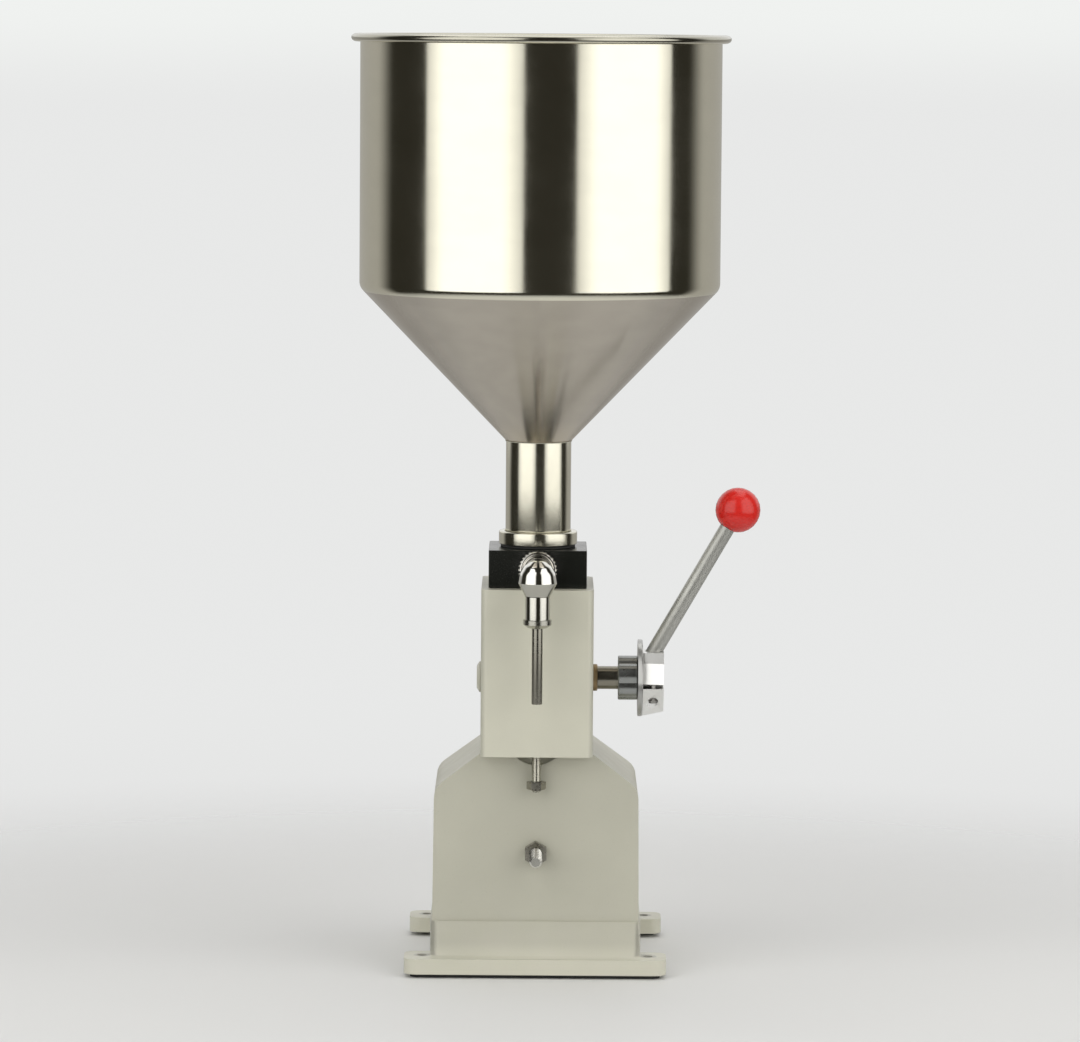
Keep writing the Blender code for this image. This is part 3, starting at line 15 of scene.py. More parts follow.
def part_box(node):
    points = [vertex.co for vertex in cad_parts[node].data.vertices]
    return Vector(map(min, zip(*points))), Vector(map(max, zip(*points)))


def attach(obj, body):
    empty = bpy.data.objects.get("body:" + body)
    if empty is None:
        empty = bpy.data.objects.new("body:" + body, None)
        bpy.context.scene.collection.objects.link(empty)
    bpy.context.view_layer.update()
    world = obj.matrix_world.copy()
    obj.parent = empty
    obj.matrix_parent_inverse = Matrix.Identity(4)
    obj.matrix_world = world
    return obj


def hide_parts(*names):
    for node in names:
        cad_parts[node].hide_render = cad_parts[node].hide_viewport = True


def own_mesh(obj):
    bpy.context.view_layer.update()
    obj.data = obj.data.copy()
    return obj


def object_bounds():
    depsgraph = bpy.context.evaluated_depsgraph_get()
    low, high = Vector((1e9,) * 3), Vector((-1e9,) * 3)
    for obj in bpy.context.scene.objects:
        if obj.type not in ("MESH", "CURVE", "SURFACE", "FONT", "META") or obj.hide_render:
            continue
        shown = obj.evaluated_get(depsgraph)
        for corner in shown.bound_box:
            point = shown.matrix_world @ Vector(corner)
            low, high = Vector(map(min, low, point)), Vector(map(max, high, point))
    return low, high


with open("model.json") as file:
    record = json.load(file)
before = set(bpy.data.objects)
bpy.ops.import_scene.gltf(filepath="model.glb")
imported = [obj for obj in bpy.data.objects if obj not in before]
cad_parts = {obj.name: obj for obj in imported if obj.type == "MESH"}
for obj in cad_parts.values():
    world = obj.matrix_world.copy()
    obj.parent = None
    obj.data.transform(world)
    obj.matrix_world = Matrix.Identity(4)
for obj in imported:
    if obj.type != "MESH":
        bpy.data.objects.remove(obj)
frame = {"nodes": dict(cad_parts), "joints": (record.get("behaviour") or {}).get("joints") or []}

CAD_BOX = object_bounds()
NODES = frame["nodes"]

bl_info = {
    "name": "Piston filler looks",
    "version": (1, 0, 0),
    "blender": (4, 5, 0),
    "location": "3D View > Sidebar > Piston filler",
    "description": "Builds the visible pieces, finishes and stage of a manual piston filler",
    "category": "Object",
}


def middle(node):
    low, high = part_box(node)
    return (low + high) / 2


# ---- finishes ----------------------------------------------------------------------------------------------


class Term:
    """A socket that takes part in expressions. Each operation on it adds a Math node."""

    def __init__(self, finish, socket):
        self.finish, self.socket = finish, socket

    def _math(self, operation, *values):
        return self.finish.node("ShaderNodeMath", {"operation": operation}, dict(enumerate(values)))

    def __add__(self, other):
        return self._math("ADD", self, other)

    def __sub__(self, other):
        return self._math("SUBTRACT", self, other)

    def __rsub__(self, other):
        return self._math("SUBTRACT", other, self)

    def __mul__(self, other):
        return self._math("MULTIPLY", self, other)

    def __pow__(self, other):
        return self._math("POWER", self, other)

    __radd__, __rmul__ = __add__, __mul__

    def fold(self):
        return self._math("ABSOLUTE", self)

    def least(self, other):
        return self._math("MINIMUM", self, other)


class Nodes:
    """A shader's node tree, with a method for each kind of node that the finishes and the room use."""

    def __init__(self, tree, coordinates):
        self.tree = tree
        self.place = self.node("ShaderNodeTexCoord", {}, {}, coordinates)

    def node(self, kind, settings, sockets, output=0):
        """Adds any node: its settings first, then the values or links of its sockets."""
        made = self.tree.nodes.new(kind)
        for setting, value in settings.items():
            if setting == "stops":
                ramp = made.color_ramp
                while len(ramp.elements) < len(value):
                    ramp.elements.new(1.0)
                for element, (position, shade) in zip(ramp.elements, value):
                    element.position, element.color = position, shade
            else:
                setattr(made, setting, value)
        for key, value in sockets.items():
            socket = made.inputs[key] if isinstance(key, int) else self._socket(made.inputs, key)
            if isinstance(value, Term):
                self.tree.links.new(value.socket, socket)
            else:
                socket.default_value = value
        found = made.outputs[output] if isinstance(output, int) else self._socket(made.outputs, output)
        return Term(self, found)

    @staticmethod
    def _socket(sockets, key):
        for socket in sockets:
            if key in (socket.identifier, socket.name) and socket.enabled:
                return socket
        raise KeyError(key)

    def axes(self, centre=(0, 0, 0)):
        """The three coordinates about a centre."""
        moved = self.node("ShaderNodeVectorMath", {"operation": "SUBTRACT"}, {0: self.place, 1: centre})
        return [self.node("ShaderNodeSeparateXYZ", {}, {0: moved}, i) for i in range(3)]

    def vector(self, x, y, z):
        return self.node("ShaderNodeCombineXYZ", {}, {0: x, 1: y, 2: z})

    def noise(self, scale, detail=3.0, rough=0.5, vector=None, distortion=0.0):
        return self.node("ShaderNodeTexNoise", {}, {
            "Vector": vector or self.place, "Scale": scale, "Detail": detail, "Roughness": rough,
            "Distortion": distortion}, "Fac")

    def cells(self, scale, output="Distance"):
        return self.node("ShaderNodeTexVoronoi", {}, {"Vector": self.place, "Scale": scale}, output)

    def between(self, term, low, high, to_low=0.0, to_high=1.0):
        """Maps a range smoothly onto another one."""
        return self.node("ShaderNodeMapRange", {"interpolation_type": "SMOOTHSTEP"}, {
            "Value": term, "From Min": low, "From Max": high, "To Min": to_low, "To Max": to_high}, "Result")

    def mix(self, factor, first, second, blend="MIX"):
        return self.node("ShaderNodeMix", {"data_type": "RGBA", "blend_type": blend}, {
            "Factor_Float": factor, "A_Color": first, "B_Color": second}, "Result_Color")

    def bump(self, height, strength, distance, under=None):
        sockets = {"Height": height, "Strength": strength, "Distance": distance}
        if under:
            sockets["Normal"] = under
        return self.node("ShaderNodeBump", {}, sockets, "Normal")


class Finish(Nodes):
    """One material, with a Principled shader whose inputs the functions below fill in."""

    def __init__(self, name, colour, roughness, metallic=0.0, **steady):
        self.name = name
        self.mat = bpy.data.materials.new(name + "_finish")
        self.mat.use_nodes = True
        self.shader = self.mat.node_tree.nodes["Principled BSDF"]
        self.mat.diffuse_color = (*colour, 1.0)
        steady = {"Base Color": (*colour, 1.0), "Roughness": roughness, "Metallic": metallic, **steady}
        for socket, value in steady.items():
            self.shader.inputs[socket.replace("_", " ")].default_value = value
        super().__init__(self.mat.node_tree, "Object")

    def put(self, **values):
        """Links what varies over the surface to the shader."""
        for name, term in values.items():
            self.tree.links.new(term.socket, self.shader.inputs[name.replace("_", " ")])


def shade(colour, factor):
    """A colour with its alpha, lighter or darker by a factor."""
    return (*(min(c * factor, 1.0) for c in colour), 1.0)


TURNED_LINES = 2600  # a metre, along the axis and the radius of turned steel
TOOL_LINES = 1800  # a metre, across the marks of a milling cutter or grindstone
TOOL_RUN = 40  # a metre, along those marks


def steel(name, colour, roughness, axis="Z", centre=(0, 0, 0), grain=1.0, blotch=0.03, stain=0.0, drawn=0.0):
    """Turned and polished steel: fine lines run round the axis, with faint polishing haze between them."""
    f = Finish(name, colour, roughness, 1.0, Anisotropic=drawn, Anisotropic_Rotation=0.25)
    x, y, z = f.axes(centre)
    along, a, b = {"Z": (z, x, y), "X": (x, y, z), "Y": (y, x, z)}[axis]
    radius = (a * a + b * b) ** 0.5
    turn = f.node("ShaderNodeMath", {"operation": "ARCTAN2"}, {0: a, 1: b})
    lines = f.noise(1.0, 4.0, 0.6, f.vector(along * TURNED_LINES, radius * TURNED_LINES, turn * 1.5))
    haze = f.noise(9.0, 4.0, 0.55)
    wipes = f.noise(1.0, 3.0, 0.5, f.vector(along * 60, radius * 60, turn * 4.0))
    rough = f.between(haze, 0.3, 0.7, roughness * 0.75, roughness * 1.3) + (lines - 0.5) * (roughness * 0.5)
    tone = f.mix(f.between(wipes, 0.3, 0.7), shade(colour, 1 - blotch), shade(colour, 1 + blotch))
    if stain:  # a faint straw tint that heat left near the welded end of the cone
        warm = f.between(along, stain, stain + 0.02, 0.35, 0.0)
        tone = f.mix(warm, tone, (0.62, 0.55, 0.42, 1.0))
    fine = f.bump(lines, 0.05 * grain, 0.0002)
    f.put(Base_Color=tone, Roughness=rough, Normal=f.bump(f.noise(14.0, 2.0), 0.02, 0.002, fine))
    return f


def ground(name, colour, roughness, along="Z"):
    """Ground or milled steel with straight tool lines along one axis and darker films of oil."""
    f = Finish(name, colour, roughness, 1.0)
    stretched = [place * (TOOL_RUN if axis == along else TOOL_LINES) for axis, place in zip("XYZ", f.axes())]
    lines = f.noise(1.0, 3.0, 0.6, f.vector(*stretched))
    film = f.noise(55.0, 4.0, 0.6)
    tone = f.mix(f.between(film, 0.35, 0.75), shade(colour, 1.08), shade(colour, 0.78))
    rough = f.between(film, 0.3, 0.7, roughness * 0.8, roughness * 1.25) + (lines - 0.5) * 0.08
    f.put(Base_Color=tone, Roughness=rough, Normal=f.bump(lines, 0.12, 0.0003))
    return f


HOLE_X, FRONT_HOLE_Y, REAR_HOLE_Y = 0.088, -0.032, 0.160  # of the four bolt holes in the foot plates
PLATE_TOP, SHOULDER = 0.012, 0.024  # heights between which the base body's painted shade gives way to the painted light of the foot plates


def paint(name, colour, roughness, plates_lit_and_worn=False, edge=0.0):
    """Sprayed machine paint: fine orange peel, slow tone changes, dust low down and rubbed bolt holes, with
    painted shade on the column's upright edges and painted light on the foot plates.
    """
    f = Finish(name, colour, roughness, 0.0, Coat_Weight=0.15, Coat_Roughness=0.25)
    x, y, z = f.axes()
    cloud = f.noise(11.0, 3.0, 0.55)
    grit = f.noise(700.0, 2.0, 0.6)
    peel = f.noise(330.0, 2.0, 0.45)
    casting = f.noise(60.0, 3.0, 0.5)
    tone = f.mix(f.between(cloud, 0.3, 0.7), shade(colour, 0.965), shade(colour, 1.03))
    tone = f.mix(f.between(grit, 0.62, 0.75, 0.0, 0.22), tone, shade(colour, 0.72))
    if edge:  # painted shade: paint within 4.5 mm of the column's upright edges, and everything further out such as the end cap, is darkened to stand in for the shade on the rounded edges
        tone = f.mix(f.between(x.fold(), edge - 0.0045, edge - 0.001, 0.0, 0.30), tone, shade(colour, 0.45))
    dust = f.between(z, 0.0, 0.10, 0.22, 0.0) * f.between(casting, 0.35, 0.7)
    tone = f.mix(dust, tone, shade((0.50, 0.475, 0.42), 1.0))
    if plates_lit_and_worn:  # painted light: the foot plates are lifted by 1.22 out of the base's painted shade; washers have rubbed the paint round their four bolt holes
        lighter = f.mix(1.0, tone, (1.22, 1.22, 1.22, 1.0), "MULTIPLY")
        tone = f.mix(f.between(z, PLATE_TOP, SHOULDER), lighter, tone)
        across = x.fold() - HOLE_X
        front, rear = y - FRONT_HOLE_Y, y - REAR_HOLE_Y
        near = ((across * across + front * front) ** 0.5).least((across * across + rear * rear) ** 0.5)
        ring = f.between(near + (grit - 0.5) * 0.003, 0.0074, 0.0056) * f.between(z, 0.004, 0.010)
        tone = f.mix(ring * 0.6, tone, (0.27, 0.26, 0.24, 1.0))
    rough = f.between(casting, 0.3, 0.7, roughness * 0.88, roughness * 1.12) + dust * 0.25
    under = f.bump(casting, 0.10, 0.0006)
    f.put(Base_Color=tone, Roughness=rough, Normal=f.bump(peel, 0.16, 0.00025, under))
    return f


def plastic(name, colour, roughness, scratch=0.3, **steady):
    """Moulded or machined plastic with a soft gloss and hair-fine handling scratches."""
    f = Finish(name, colour, roughness, 0.0, **steady)
    cloud = f.noise(30.0, 3.0, 0.5)
    x, y, z = f.axes()
    hairs = f.noise(1.0, 2.0, 0.7, f.vector(x * 900 + y * 300, y * 70, z * 900), 0.6)
    tone = f.mix(f.between(cloud, 0.3, 0.7), shade(colour, 0.94), shade(colour, 1.07))
    rough = f.between(cloud, 0.3, 0.7, roughness * 0.85, roughness * 1.15)
    rough = rough + f.between(hairs, 0.60, 0.72, 0.0, scratch * roughness)
    f.put(Base_Color=tone, Roughness=rough, Normal=f.bump(hairs, 0.03, 0.0001))
    return f


def rubber(name, colour):
    f = Finish(name, colour, 0.75)
    pits = f.cells(650.0)
    bloom = f.noise(45.0, 4.0, 0.6)
    tone = f.mix(f.between(bloom, 0.35, 0.75, 0.0, 0.6), shade(colour, 0.85), shade(colour, 2.2))
    f.put(Base_Color=tone, Roughness=f.between(bloom, 0.3, 0.7, 0.65, 0.88),
          Normal=f.bump(pits, 0.25, 0.0003))
    return f


def zinc(name, colour, roughness):
    """Bright plated steel with the soft spangle of a zinc coat."""
    f = Finish(name, colour, roughness, 1.0)
    spangle = f.cells(260.0, "Color")
    patches = f.node("ShaderNodeSeparateColor", {}, {0: spangle}, 0)
    dull = f.noise(120.0, 4.0, 0.6)
    tone = f.mix(patches * 0.5, shade(colour, 1.05), shade(colour, 0.93))
    tone = f.mix(f.between(dull, 0.58, 0.78, 0.0, 0.35), tone, shade((0.36, 0.35, 0.32), 1.0))
    rough = roughness + patches * 0.04 + f.between(dull, 0.5, 0.75, 0.0, 0.12)
    f.put(Base_Color=tone, Roughness=rough, Normal=f.bump(dull, 0.03, 0.0001))
    return f


def satin(name, colour, roughness):
    """Satin plating with faint hand marks and a trace of unevenness."""
    f = Finish(name, colour, roughness, 1.0)
    marks = f.noise(26.0, 4.0, 0.55)
    waves = f.noise(90.0, 2.0, 0.5)
    tone = f.mix(f.between(marks, 0.35, 0.7), shade(colour, 1.03), shade(colour, 0.94))
    rough = f.between(marks, 0.3, 0.7, roughness * 0.88, roughness * 1.12)
    f.put(Base_Color=tone, Roughness=rough, Normal=f.bump(waves, 0.03, 0.0002))
    return f


def sintered(name, colour):
    """Porous bronze of the bushes, darkened by oil."""
    f = Finish(name, colour, 0.42, 1.0)
    pores = f.cells(1500.0)
    oil = f.noise(150.0, 4.0, 0.6)
    tone = f.mix(f.between(pores, 0.1, 0.3, 0.75, 0.0), shade(colour, 1.0), (0.07, 0.05, 0.03, 1.0))
    tone = f.mix(f.between(oil, 0.45, 0.7, 0.0, 0.45), tone, (0.20, 0.13, 0.06, 1.0))
    f.put(Base_Color=tone, Roughness=f.between(oil, 0.3, 0.7, 0.50, 0.30),
          Normal=f.bump(pores, 0.3, 0.0002))
    return f


FINISHES = {}


def make_finishes(colours):
    """Makes every finish once, under the name that the pieces ask for it by."""
    shaft, outlet = middle("pinion_shaft"), middle("nozzle_connector")
    bright, beige = tuple(colours.steel), tuple(colours.paint)
    made = [
        steel("hopper_steel", bright, 0.13, blotch=0.015, drawn=0.5),
        # painted reflection: the rolled rim is the hopper's steel darkened to 0.60, standing in for the dark
        # room its bead reflects
        steel("rim_steel", shade(bright, 0.60)[:3], 0.16),
        # painted reflection: the cone is the wall's steel made darker, standing in for the dim floor and base
        # it reflects; its blur, drawn lines and heat tint are its own
        steel("cone_steel", (0.500, 0.462, 0.405), 0.19, blotch=0.03, grain=1.2,
              stain=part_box("hopper_shell")[0].z, drawn=0.75),
        steel("neck_steel", shade(bright, 0.90)[:3], 0.17, grain=1.2, drawn=0.7),
        steel("tube_steel", (0.28, 0.27, 0.23), 0.30, centre=outlet, grain=0.1, drawn=0.6),
        steel("outlet_chrome", (0.80, 0.79, 0.75), 0.07, centre=outlet, grain=0.6),
        steel("connector_steel", (0.60, 0.59, 0.54), 0.12, centre=outlet, grain=0.3, drawn=0.5),
        satin("ring_steel", (0.50, 0.49, 0.44), 0.20),
        steel("union_chrome", (0.78, 0.76, 0.72), 0.13, "Y", middle("outlet_union_nut")),
        steel("shaft_steel", (0.27, 0.255, 0.21), 0.20, "X", shaft),
        satin("collar_chrome", (0.33, 0.34, 0.335), 0.27),
        satin("flange_chrome", (0.46, 0.46, 0.45), 0.30),
        satin("lever_chrome", (0.86, 0.86, 0.85), 0.31),
        satin("rod_steel", (0.54, 0.54, 0.51), 0.50),
        steel("sleeve_steel", bright, 0.12),
        steel("piston_steel", (0.60, 0.58, 0.55), 0.30, grain=2.0),
        ground("ground_steel", (0.42, 0.41, 0.39), 0.30),
        ground("gear_steel", (0.36, 0.35, 0.34), 0.28, "X"),
        ground("plate_steel", (0.45, 0.44, 0.42), 0.38, "Y"),
        zinc("zinc", (0.66, 0.65, 0.60), 0.20),
        zinc("nut_zinc", (0.36, 0.345, 0.30), 0.24),
        # painted shade on the column's upright edges, out from this half width
        paint("beige_paint", beige, 0.42, edge=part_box("column_housing")[1].x),
        # painted shade: the base takes the column's beige darkened to 0.80, standing in for the shade it sits
        # in below the overhanging column
        paint("base_paint", shade(beige, 0.80)[:3], 0.42, True),
        plastic("black_plastic", tuple(colours.block), 0.22),
        plastic("red_plastic", tuple(colours.knob), 0.21, 0.15),
        rubber("black_rubber", (0.02, 0.02, 0.02)),
        rubber("seal_rubber", (0.03, 0.03, 0.028)),
        sintered("bronze", (0.34, 0.25, 0.14)),
    ]
    FINISHES.update((f.name, f.mat) for f in made)


def finish(name):
    return FINISHES[name]


# ---- node trees that make shapes ---------------------------------------------------------------------------


class Growth:
    """A Geometry Nodes tree with named inputs. It ends in Realize Instances and Set Material."""

    SOCKETS = {"int": "NodeSocketInt", "float": "NodeSocketFloat", "material": "NodeSocketMaterial",
               "object": "NodeSocketObject"}

    def __init__(self, name, **inputs):
        self.tree = bpy.data.node_groups.new(name, "GeometryNodeTree")
        new = self.tree.interface.new_socket
        new("Geometry", in_out="INPUT", socket_type="NodeSocketGeometry")
        for label, kind in inputs.items():
            new(label, in_out="INPUT", socket_type=self.SOCKETS[kind])
        new("Material", in_out="INPUT", socket_type="NodeSocketMaterial")
        new("Geometry", in_out="OUTPUT", socket_type="NodeSocketGeometry")
        self.given = self.tree.nodes.new("NodeGroupInput")

    def node(self, kind, settings=None, output=0, **sockets):
        made = self.tree.nodes.new(kind)
        for setting, value in (settings or {}).items():
            setattr(made, setting, value)
        for key, value in sockets.items():
            names = (key, key.replace("_", " "))
            found = next(s for s in made.inputs if s.enabled and (s.identifier in names or s.name in names))
            if isinstance(value, bpy.types.NodeSocket):
                self.tree.links.new(value, found)
            else:
                found.default_value = value
        return made.outputs[output]

    def input(self, label):
        return self.given.outputs[label]

    def end(self, geometry):
        real = self.node("GeometryNodeRealizeInstances", Geometry=geometry)
        real = self.node("GeometryNodeSetMaterial", Geometry=real, Material=self.input("Material"))
        out = self.tree.nodes.new("NodeGroupOutput")
        self.tree.links.new(real, out.inputs["Geometry"])
        return self.tree


PATH_RADIUS = 1.0  # of the circle that a turned section is swept round


def turning_tree():
    """Sweeps a section, drawn as (radius - 1, -height), round the axis and closes its poles."""
    g = Growth("turned section", Sides="int")
    section = g.node("GeometryNodeMeshToCurve", Mesh=g.input("Geometry"))
    circle = g.node("GeometryNodeCurvePrimitiveCircle", {"mode": "RADIUS"}, Resolution=g.input("Sides"),
                    Radius=PATH_RADIUS)
    swept = g.node("GeometryNodeCurveToMesh", Curve=circle, Profile_Curve=section)
    return g.end(g.node("GeometryNodeMergeByDistance", Geometry=swept, Distance=2e-6))


def rib_tree():
    """Sets copies of a small shape round the Z axis."""
    g = Growth("ribs round a ring", Count="int", Radius="float", Rib="object")
    circle = g.node("GeometryNodeMeshCircle", Vertices=g.input("Count"), Radius=g.input("Radius"))
    spot = g.node("GeometryNodeInputPosition")
    turn = g.node("FunctionNodeAlignRotationToVector", {"axis": "X"}, Vector=spot)
    rib = g.node("GeometryNodeObjectInfo", {}, "Geometry", Object=g.input("Rib"))
    return g.end(g.node("GeometryNodeInstanceOnPoints", Points=circle, Instance=rib, Rotation=turn))


def thread_tree():
    """Winds a thread's ridge up a spiral."""
    g = Growth("thread", Turns="float", Radius="float", Height="float", Depth="float")
    spiral = g.node("GeometryNodeCurveSpiral", Resolution=20, Rotations=g.input("Turns"),
                    Start_Radius=g.input("Radius"), End_Radius=g.input("Radius"), Height=g.input("Height"))
    upright = g.node("GeometryNodeSetCurveNormal", {"mode": "Z_UP"}, Curve=spiral)
    tooth = g.node("GeometryNodeCurvePrimitiveCircle", {"mode": "RADIUS"}, Resolution=4,
                   Radius=g.input("Depth"))
    return g.end(g.node("GeometryNodeCurveToMesh", Curve=upright, Profile_Curve=tooth, Fill_Caps=True))


def scatter_tree():
    """Sets copies of a part on the points of a mesh."""
    g = Growth("parts at places", Part="object")
    part = g.node("GeometryNodeObjectInfo", {}, "Geometry", Object=g.input("Part"))
    return g.end(g.node("GeometryNodeInstanceOnPoints", Points=g.input("Geometry"), Instance=part))


TREES = {}


def tree(maker):
    if maker not in TREES:
        TREES[maker] = maker()
    return TREES[maker]


def link(name, mesh):
    obj = bpy.data.objects.new(name, mesh)
    bpy.context.scene.collection.objects.link(obj)
    return obj


def grow(name, maker, mesh, material, **inputs):
    """Runs a tree on a mesh and keeps the result as a plain mesh."""
    obj = link(name, mesh)
    modifier = obj.modifiers.new("growth", "NODES")
    modifier.node_group = tree(maker)
    values = {"Material": finish(material), **inputs}
    for item in modifier.node_group.interface.items_tree:
        if item.in_out == "INPUT" and item.name in values:
            modifier[item.identifier] = values[item.name]
    return settle(obj)


def settle(obj):
    """Applies an object's modifiers, its place and its turn to its mesh."""
    graph = bpy.context.evaluated_depsgraph_get()
    mesh = bpy.data.meshes.new_from_object(obj.evaluated_get(graph))
    mesh.transform(obj.matrix_world)
    obj.modifiers.clear()
    obj.data = mesh
    obj.matrix_world = Matrix.Identity(4)
    return obj


# ---- shapes ------------------------------------------------------------------------------------------------


SHARP = 30  # degrees; an edge sharper than this shows as one, unless a piece gives its own angle


def shade_edges(mesh, angle):
    mesh.shade_smooth()
    mesh.set_sharp_from_angle(angle=math.radians(angle))


def tidy_mesh(obj, angle=SHARP):
    """Merges doubles, turns faces outwards and shades the piece smooth up to an angle."""
    bm = bmesh.new()
    bm.from_mesh(obj.data)
    bmesh.ops.remove_doubles(bm, verts=bm.verts, dist=1e-6)
    bmesh.ops.dissolve_degenerate(bm, edges=bm.edges, dist=1e-6)
    bmesh.ops.recalc_face_normals(bm, faces=bm.faces)
    bm.to_mesh(obj.data)
    bm.free()
    shade_edges(obj.data, angle)
    return obj


def wire(points, closed):
    """A section of (radius, height) points, laid out as the turning tree wants it."""
    mesh = bpy.data.meshes.new("section")
    edges = [(i, i + 1) for i in range(len(points) - 1)] + ([(len(points) - 1, 0)] if closed else [])
    mesh.from_pydata([(r - PATH_RADIUS, -z, 0) for r, z in points], edges, [])
    return mesh


def eased(points, radii, steps=5):
    """Rounds the corners of a section or outline. A radius of 0 keeps the corner."""
    out = []
    for i, (point, radius) in enumerate(zip(points, radii)):
        corner = Vector(point)
        if not radius:
            out.append(tuple(corner))
            continue
        to_last = (Vector(points[i - 1]) - corner).normalized()
        to_next = (Vector(points[(i + 1) % len(points)]) - corner).normalized()
        half = to_last.angle(to_next) / 2
        reach = radius / math.tan(half)
        centre = corner + (to_last + to_next).normalized() * (radius / math.sin(half))
        start = (corner + to_last * reach - centre).normalized()
        end = (corner + to_next * reach - centre).normalized()
        out += [tuple(centre + radius * start.slerp(end, k / steps)) for k in range(steps + 1)]
    return out


def eased_all(points, radius):
    """Rounds every corner by one small radius."""
    return eased(points, [radius] * len(points), 3)


def turned(name, points, material, sides=96, closed=True, angle=SHARP):
    """A section of (radius, height) points turned round Z. An open one starts and ends on the axis."""
    return tidy_mesh(grow(name, turning_tree, wire(points, closed), material, Sides=sides), angle)


def aim(obj, centre, axis="Z"):
    """Moves a shape made about Z to its centre, turned to point along X or along -Y, into the mesh."""
    turn = {"X": Matrix.Rotation(math.pi / 2, 4, "Y"), "Y": Matrix.Rotation(math.pi / 2, 4, "X"),
            "Z": Matrix.Identity(4)}[axis]
    obj.data.transform(Matrix.Translation(centre) @ turn)
    return obj


def prism(name, outline, low, high, material):
    """Extrudes an outline in XY, given anticlockwise, from low to high."""
    count = len(outline)
    points = [(x, y, z) for z in (low, high) for x, y in outline]
    sides = [(i, (i + 1) % count, (i + 1) % count + count, i + count) for i in range(count)]
    mesh = bpy.data.meshes.new(name)
    mesh.from_pydata(points, [], [tuple(reversed(range(count))), tuple(range(count, 2 * count)), *sides])
    mesh.materials.append(finish(material))
    return link(name, mesh)


def merge(name, *objs):
    """Joins pieces that ride together into one object. Their closed meshes stay as they are."""
    bm = bmesh.new()
    materials = []
    for obj in objs:
        start = len(bm.faces)
        bm.from_mesh(obj.data)
        bm.faces.ensure_lookup_table()
        shift = {}
        for i, mat in enumerate(obj.data.materials):
            if mat not in materials:
                materials.append(mat)
            shift[i] = materials.index(mat)
        for face in bm.faces[start:]:
            face.material_index = shift.get(face.material_index, 0)
    mesh = bpy.data.meshes.new(name)
    bm.to_mesh(mesh)
    bm.free()
    for mat in materials:
        mesh.materials.append(mat)
    for obj in objs:
        bpy.data.objects.remove(obj)
    mesh.set_sharp_from_angle(angle=math.radians(SHARP))
    return link(name, mesh)


def several(obj, which, *materials):
    """Adds finishes to a piece, and gives each face the one whose number a rule says for its middle."""
    for material in materials:
        obj.data.materials.append(finish(material))
    for face in obj.data.polygons:
        face.material_index = int(which(face.center))


def finished(obj, body, slot, *nodes):
    """Hangs a finished piece on its body in place of its CAD nodes."""
    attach(obj, body)
    if nodes:
        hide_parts(*nodes)
    return obj


def coated(material, *nodes):
    """Gives CAD nodes a finish."""
    for node in nodes:
        mesh = NODES[node].data
        mesh.materials.clear()
        mesh.materials.append(finish(material))


def softened(name, node, material, body, slot, angle=35):
    """A copy of a CAD node with merged corners, flat faces that stay flat and smooth round edges."""
    obj = link(name, NODES[node].data.copy())
    obj.data.materials.clear()
    obj.data.materials.append(finish(material))
    bm = bmesh.new()
    bm.from_mesh(obj.data)
    for face in bm.faces:
        face.material_index = 0
    bmesh.ops.remove_doubles(bm, verts=bm.verts, dist=1e-5)
    bmesh.ops.dissolve_limit(bm, angle_limit=math.radians(0.3), verts=bm.verts, edges=bm.edges)
    bm.to_mesh(obj.data)
    bm.free()
    shade_edges(obj.data, angle)
    weigh = obj.modifiers.new("flat faces", "WEIGHTED_NORMAL")
    weigh.keep_sharp, weigh.weight = True, 100
    settle(obj)
    return finished(obj, body, slot, node)


# ---- properties --------------------------------------------------------------------------------------------


class FillerColours(bpy.types.PropertyGroup):
    """Colours of the machine."""

    paint: bpy.props.FloatVectorProperty(
        name="Paint", description="Paint of the column and the base", subtype="COLOR", size=3, min=0, max=1,
        default=(0.612, 0.600, 0.497))
    steel: bpy.props.FloatVectorProperty(
        name="Steel", description="Polished steel of the hopper", subtype="COLOR", size=3, min=0, max=1,
        default=(0.76, 0.735, 0.62))
    block: bpy.props.FloatVectorProperty(
        name="Block", description="Plastic of the valve block", subtype="COLOR", size=3, min=0, max=1,
        default=(0.010, 0.011, 0.009))
    knob: bpy.props.FloatVectorProperty(
        name="Knob", description="Plastic of the lever's ball", subtype="COLOR", size=3, min=0, max=1,
        default=(0.67, 0.022, 0.016))


class FillerSizes(bpy.types.PropertyGroup):
    """Sizes of the details that the CAD model leaves out."""

    sides: bpy.props.IntProperty(
        name="Sides", description="Sides of the hopper's round surfaces", default=192, min=24, max=360)
    rim_lip: bpy.props.FloatProperty(
        name="Rim gap", description="Width of the slit where the rolled rim closes", default=0.0006,
        min=0.0002, max=0.002, unit="LENGTH")
    weld: bpy.props.FloatProperty(
        name="Weld", description="Half the width of the weld beads", default=0.0007, min=0.0003, max=0.002,
        unit="LENGTH")
    ribs: bpy.props.IntProperty(
        name="Ribs", description="Grip ribs round the union ring", default=28, min=8, max=60)
    rod_pitch: bpy.props.FloatProperty(
        name="Rod pitch", description="Pitch of the thread on the hanging rod", default=0.00125, min=0.0005,
        max=0.003, unit="LENGTH")
    stud_pitch: bpy.props.FloatProperty(
        name="Stud pitch", description="Pitch of the thread on the front stud", default=0.0015, min=0.0005,
        max=0.003, unit="LENGTH")


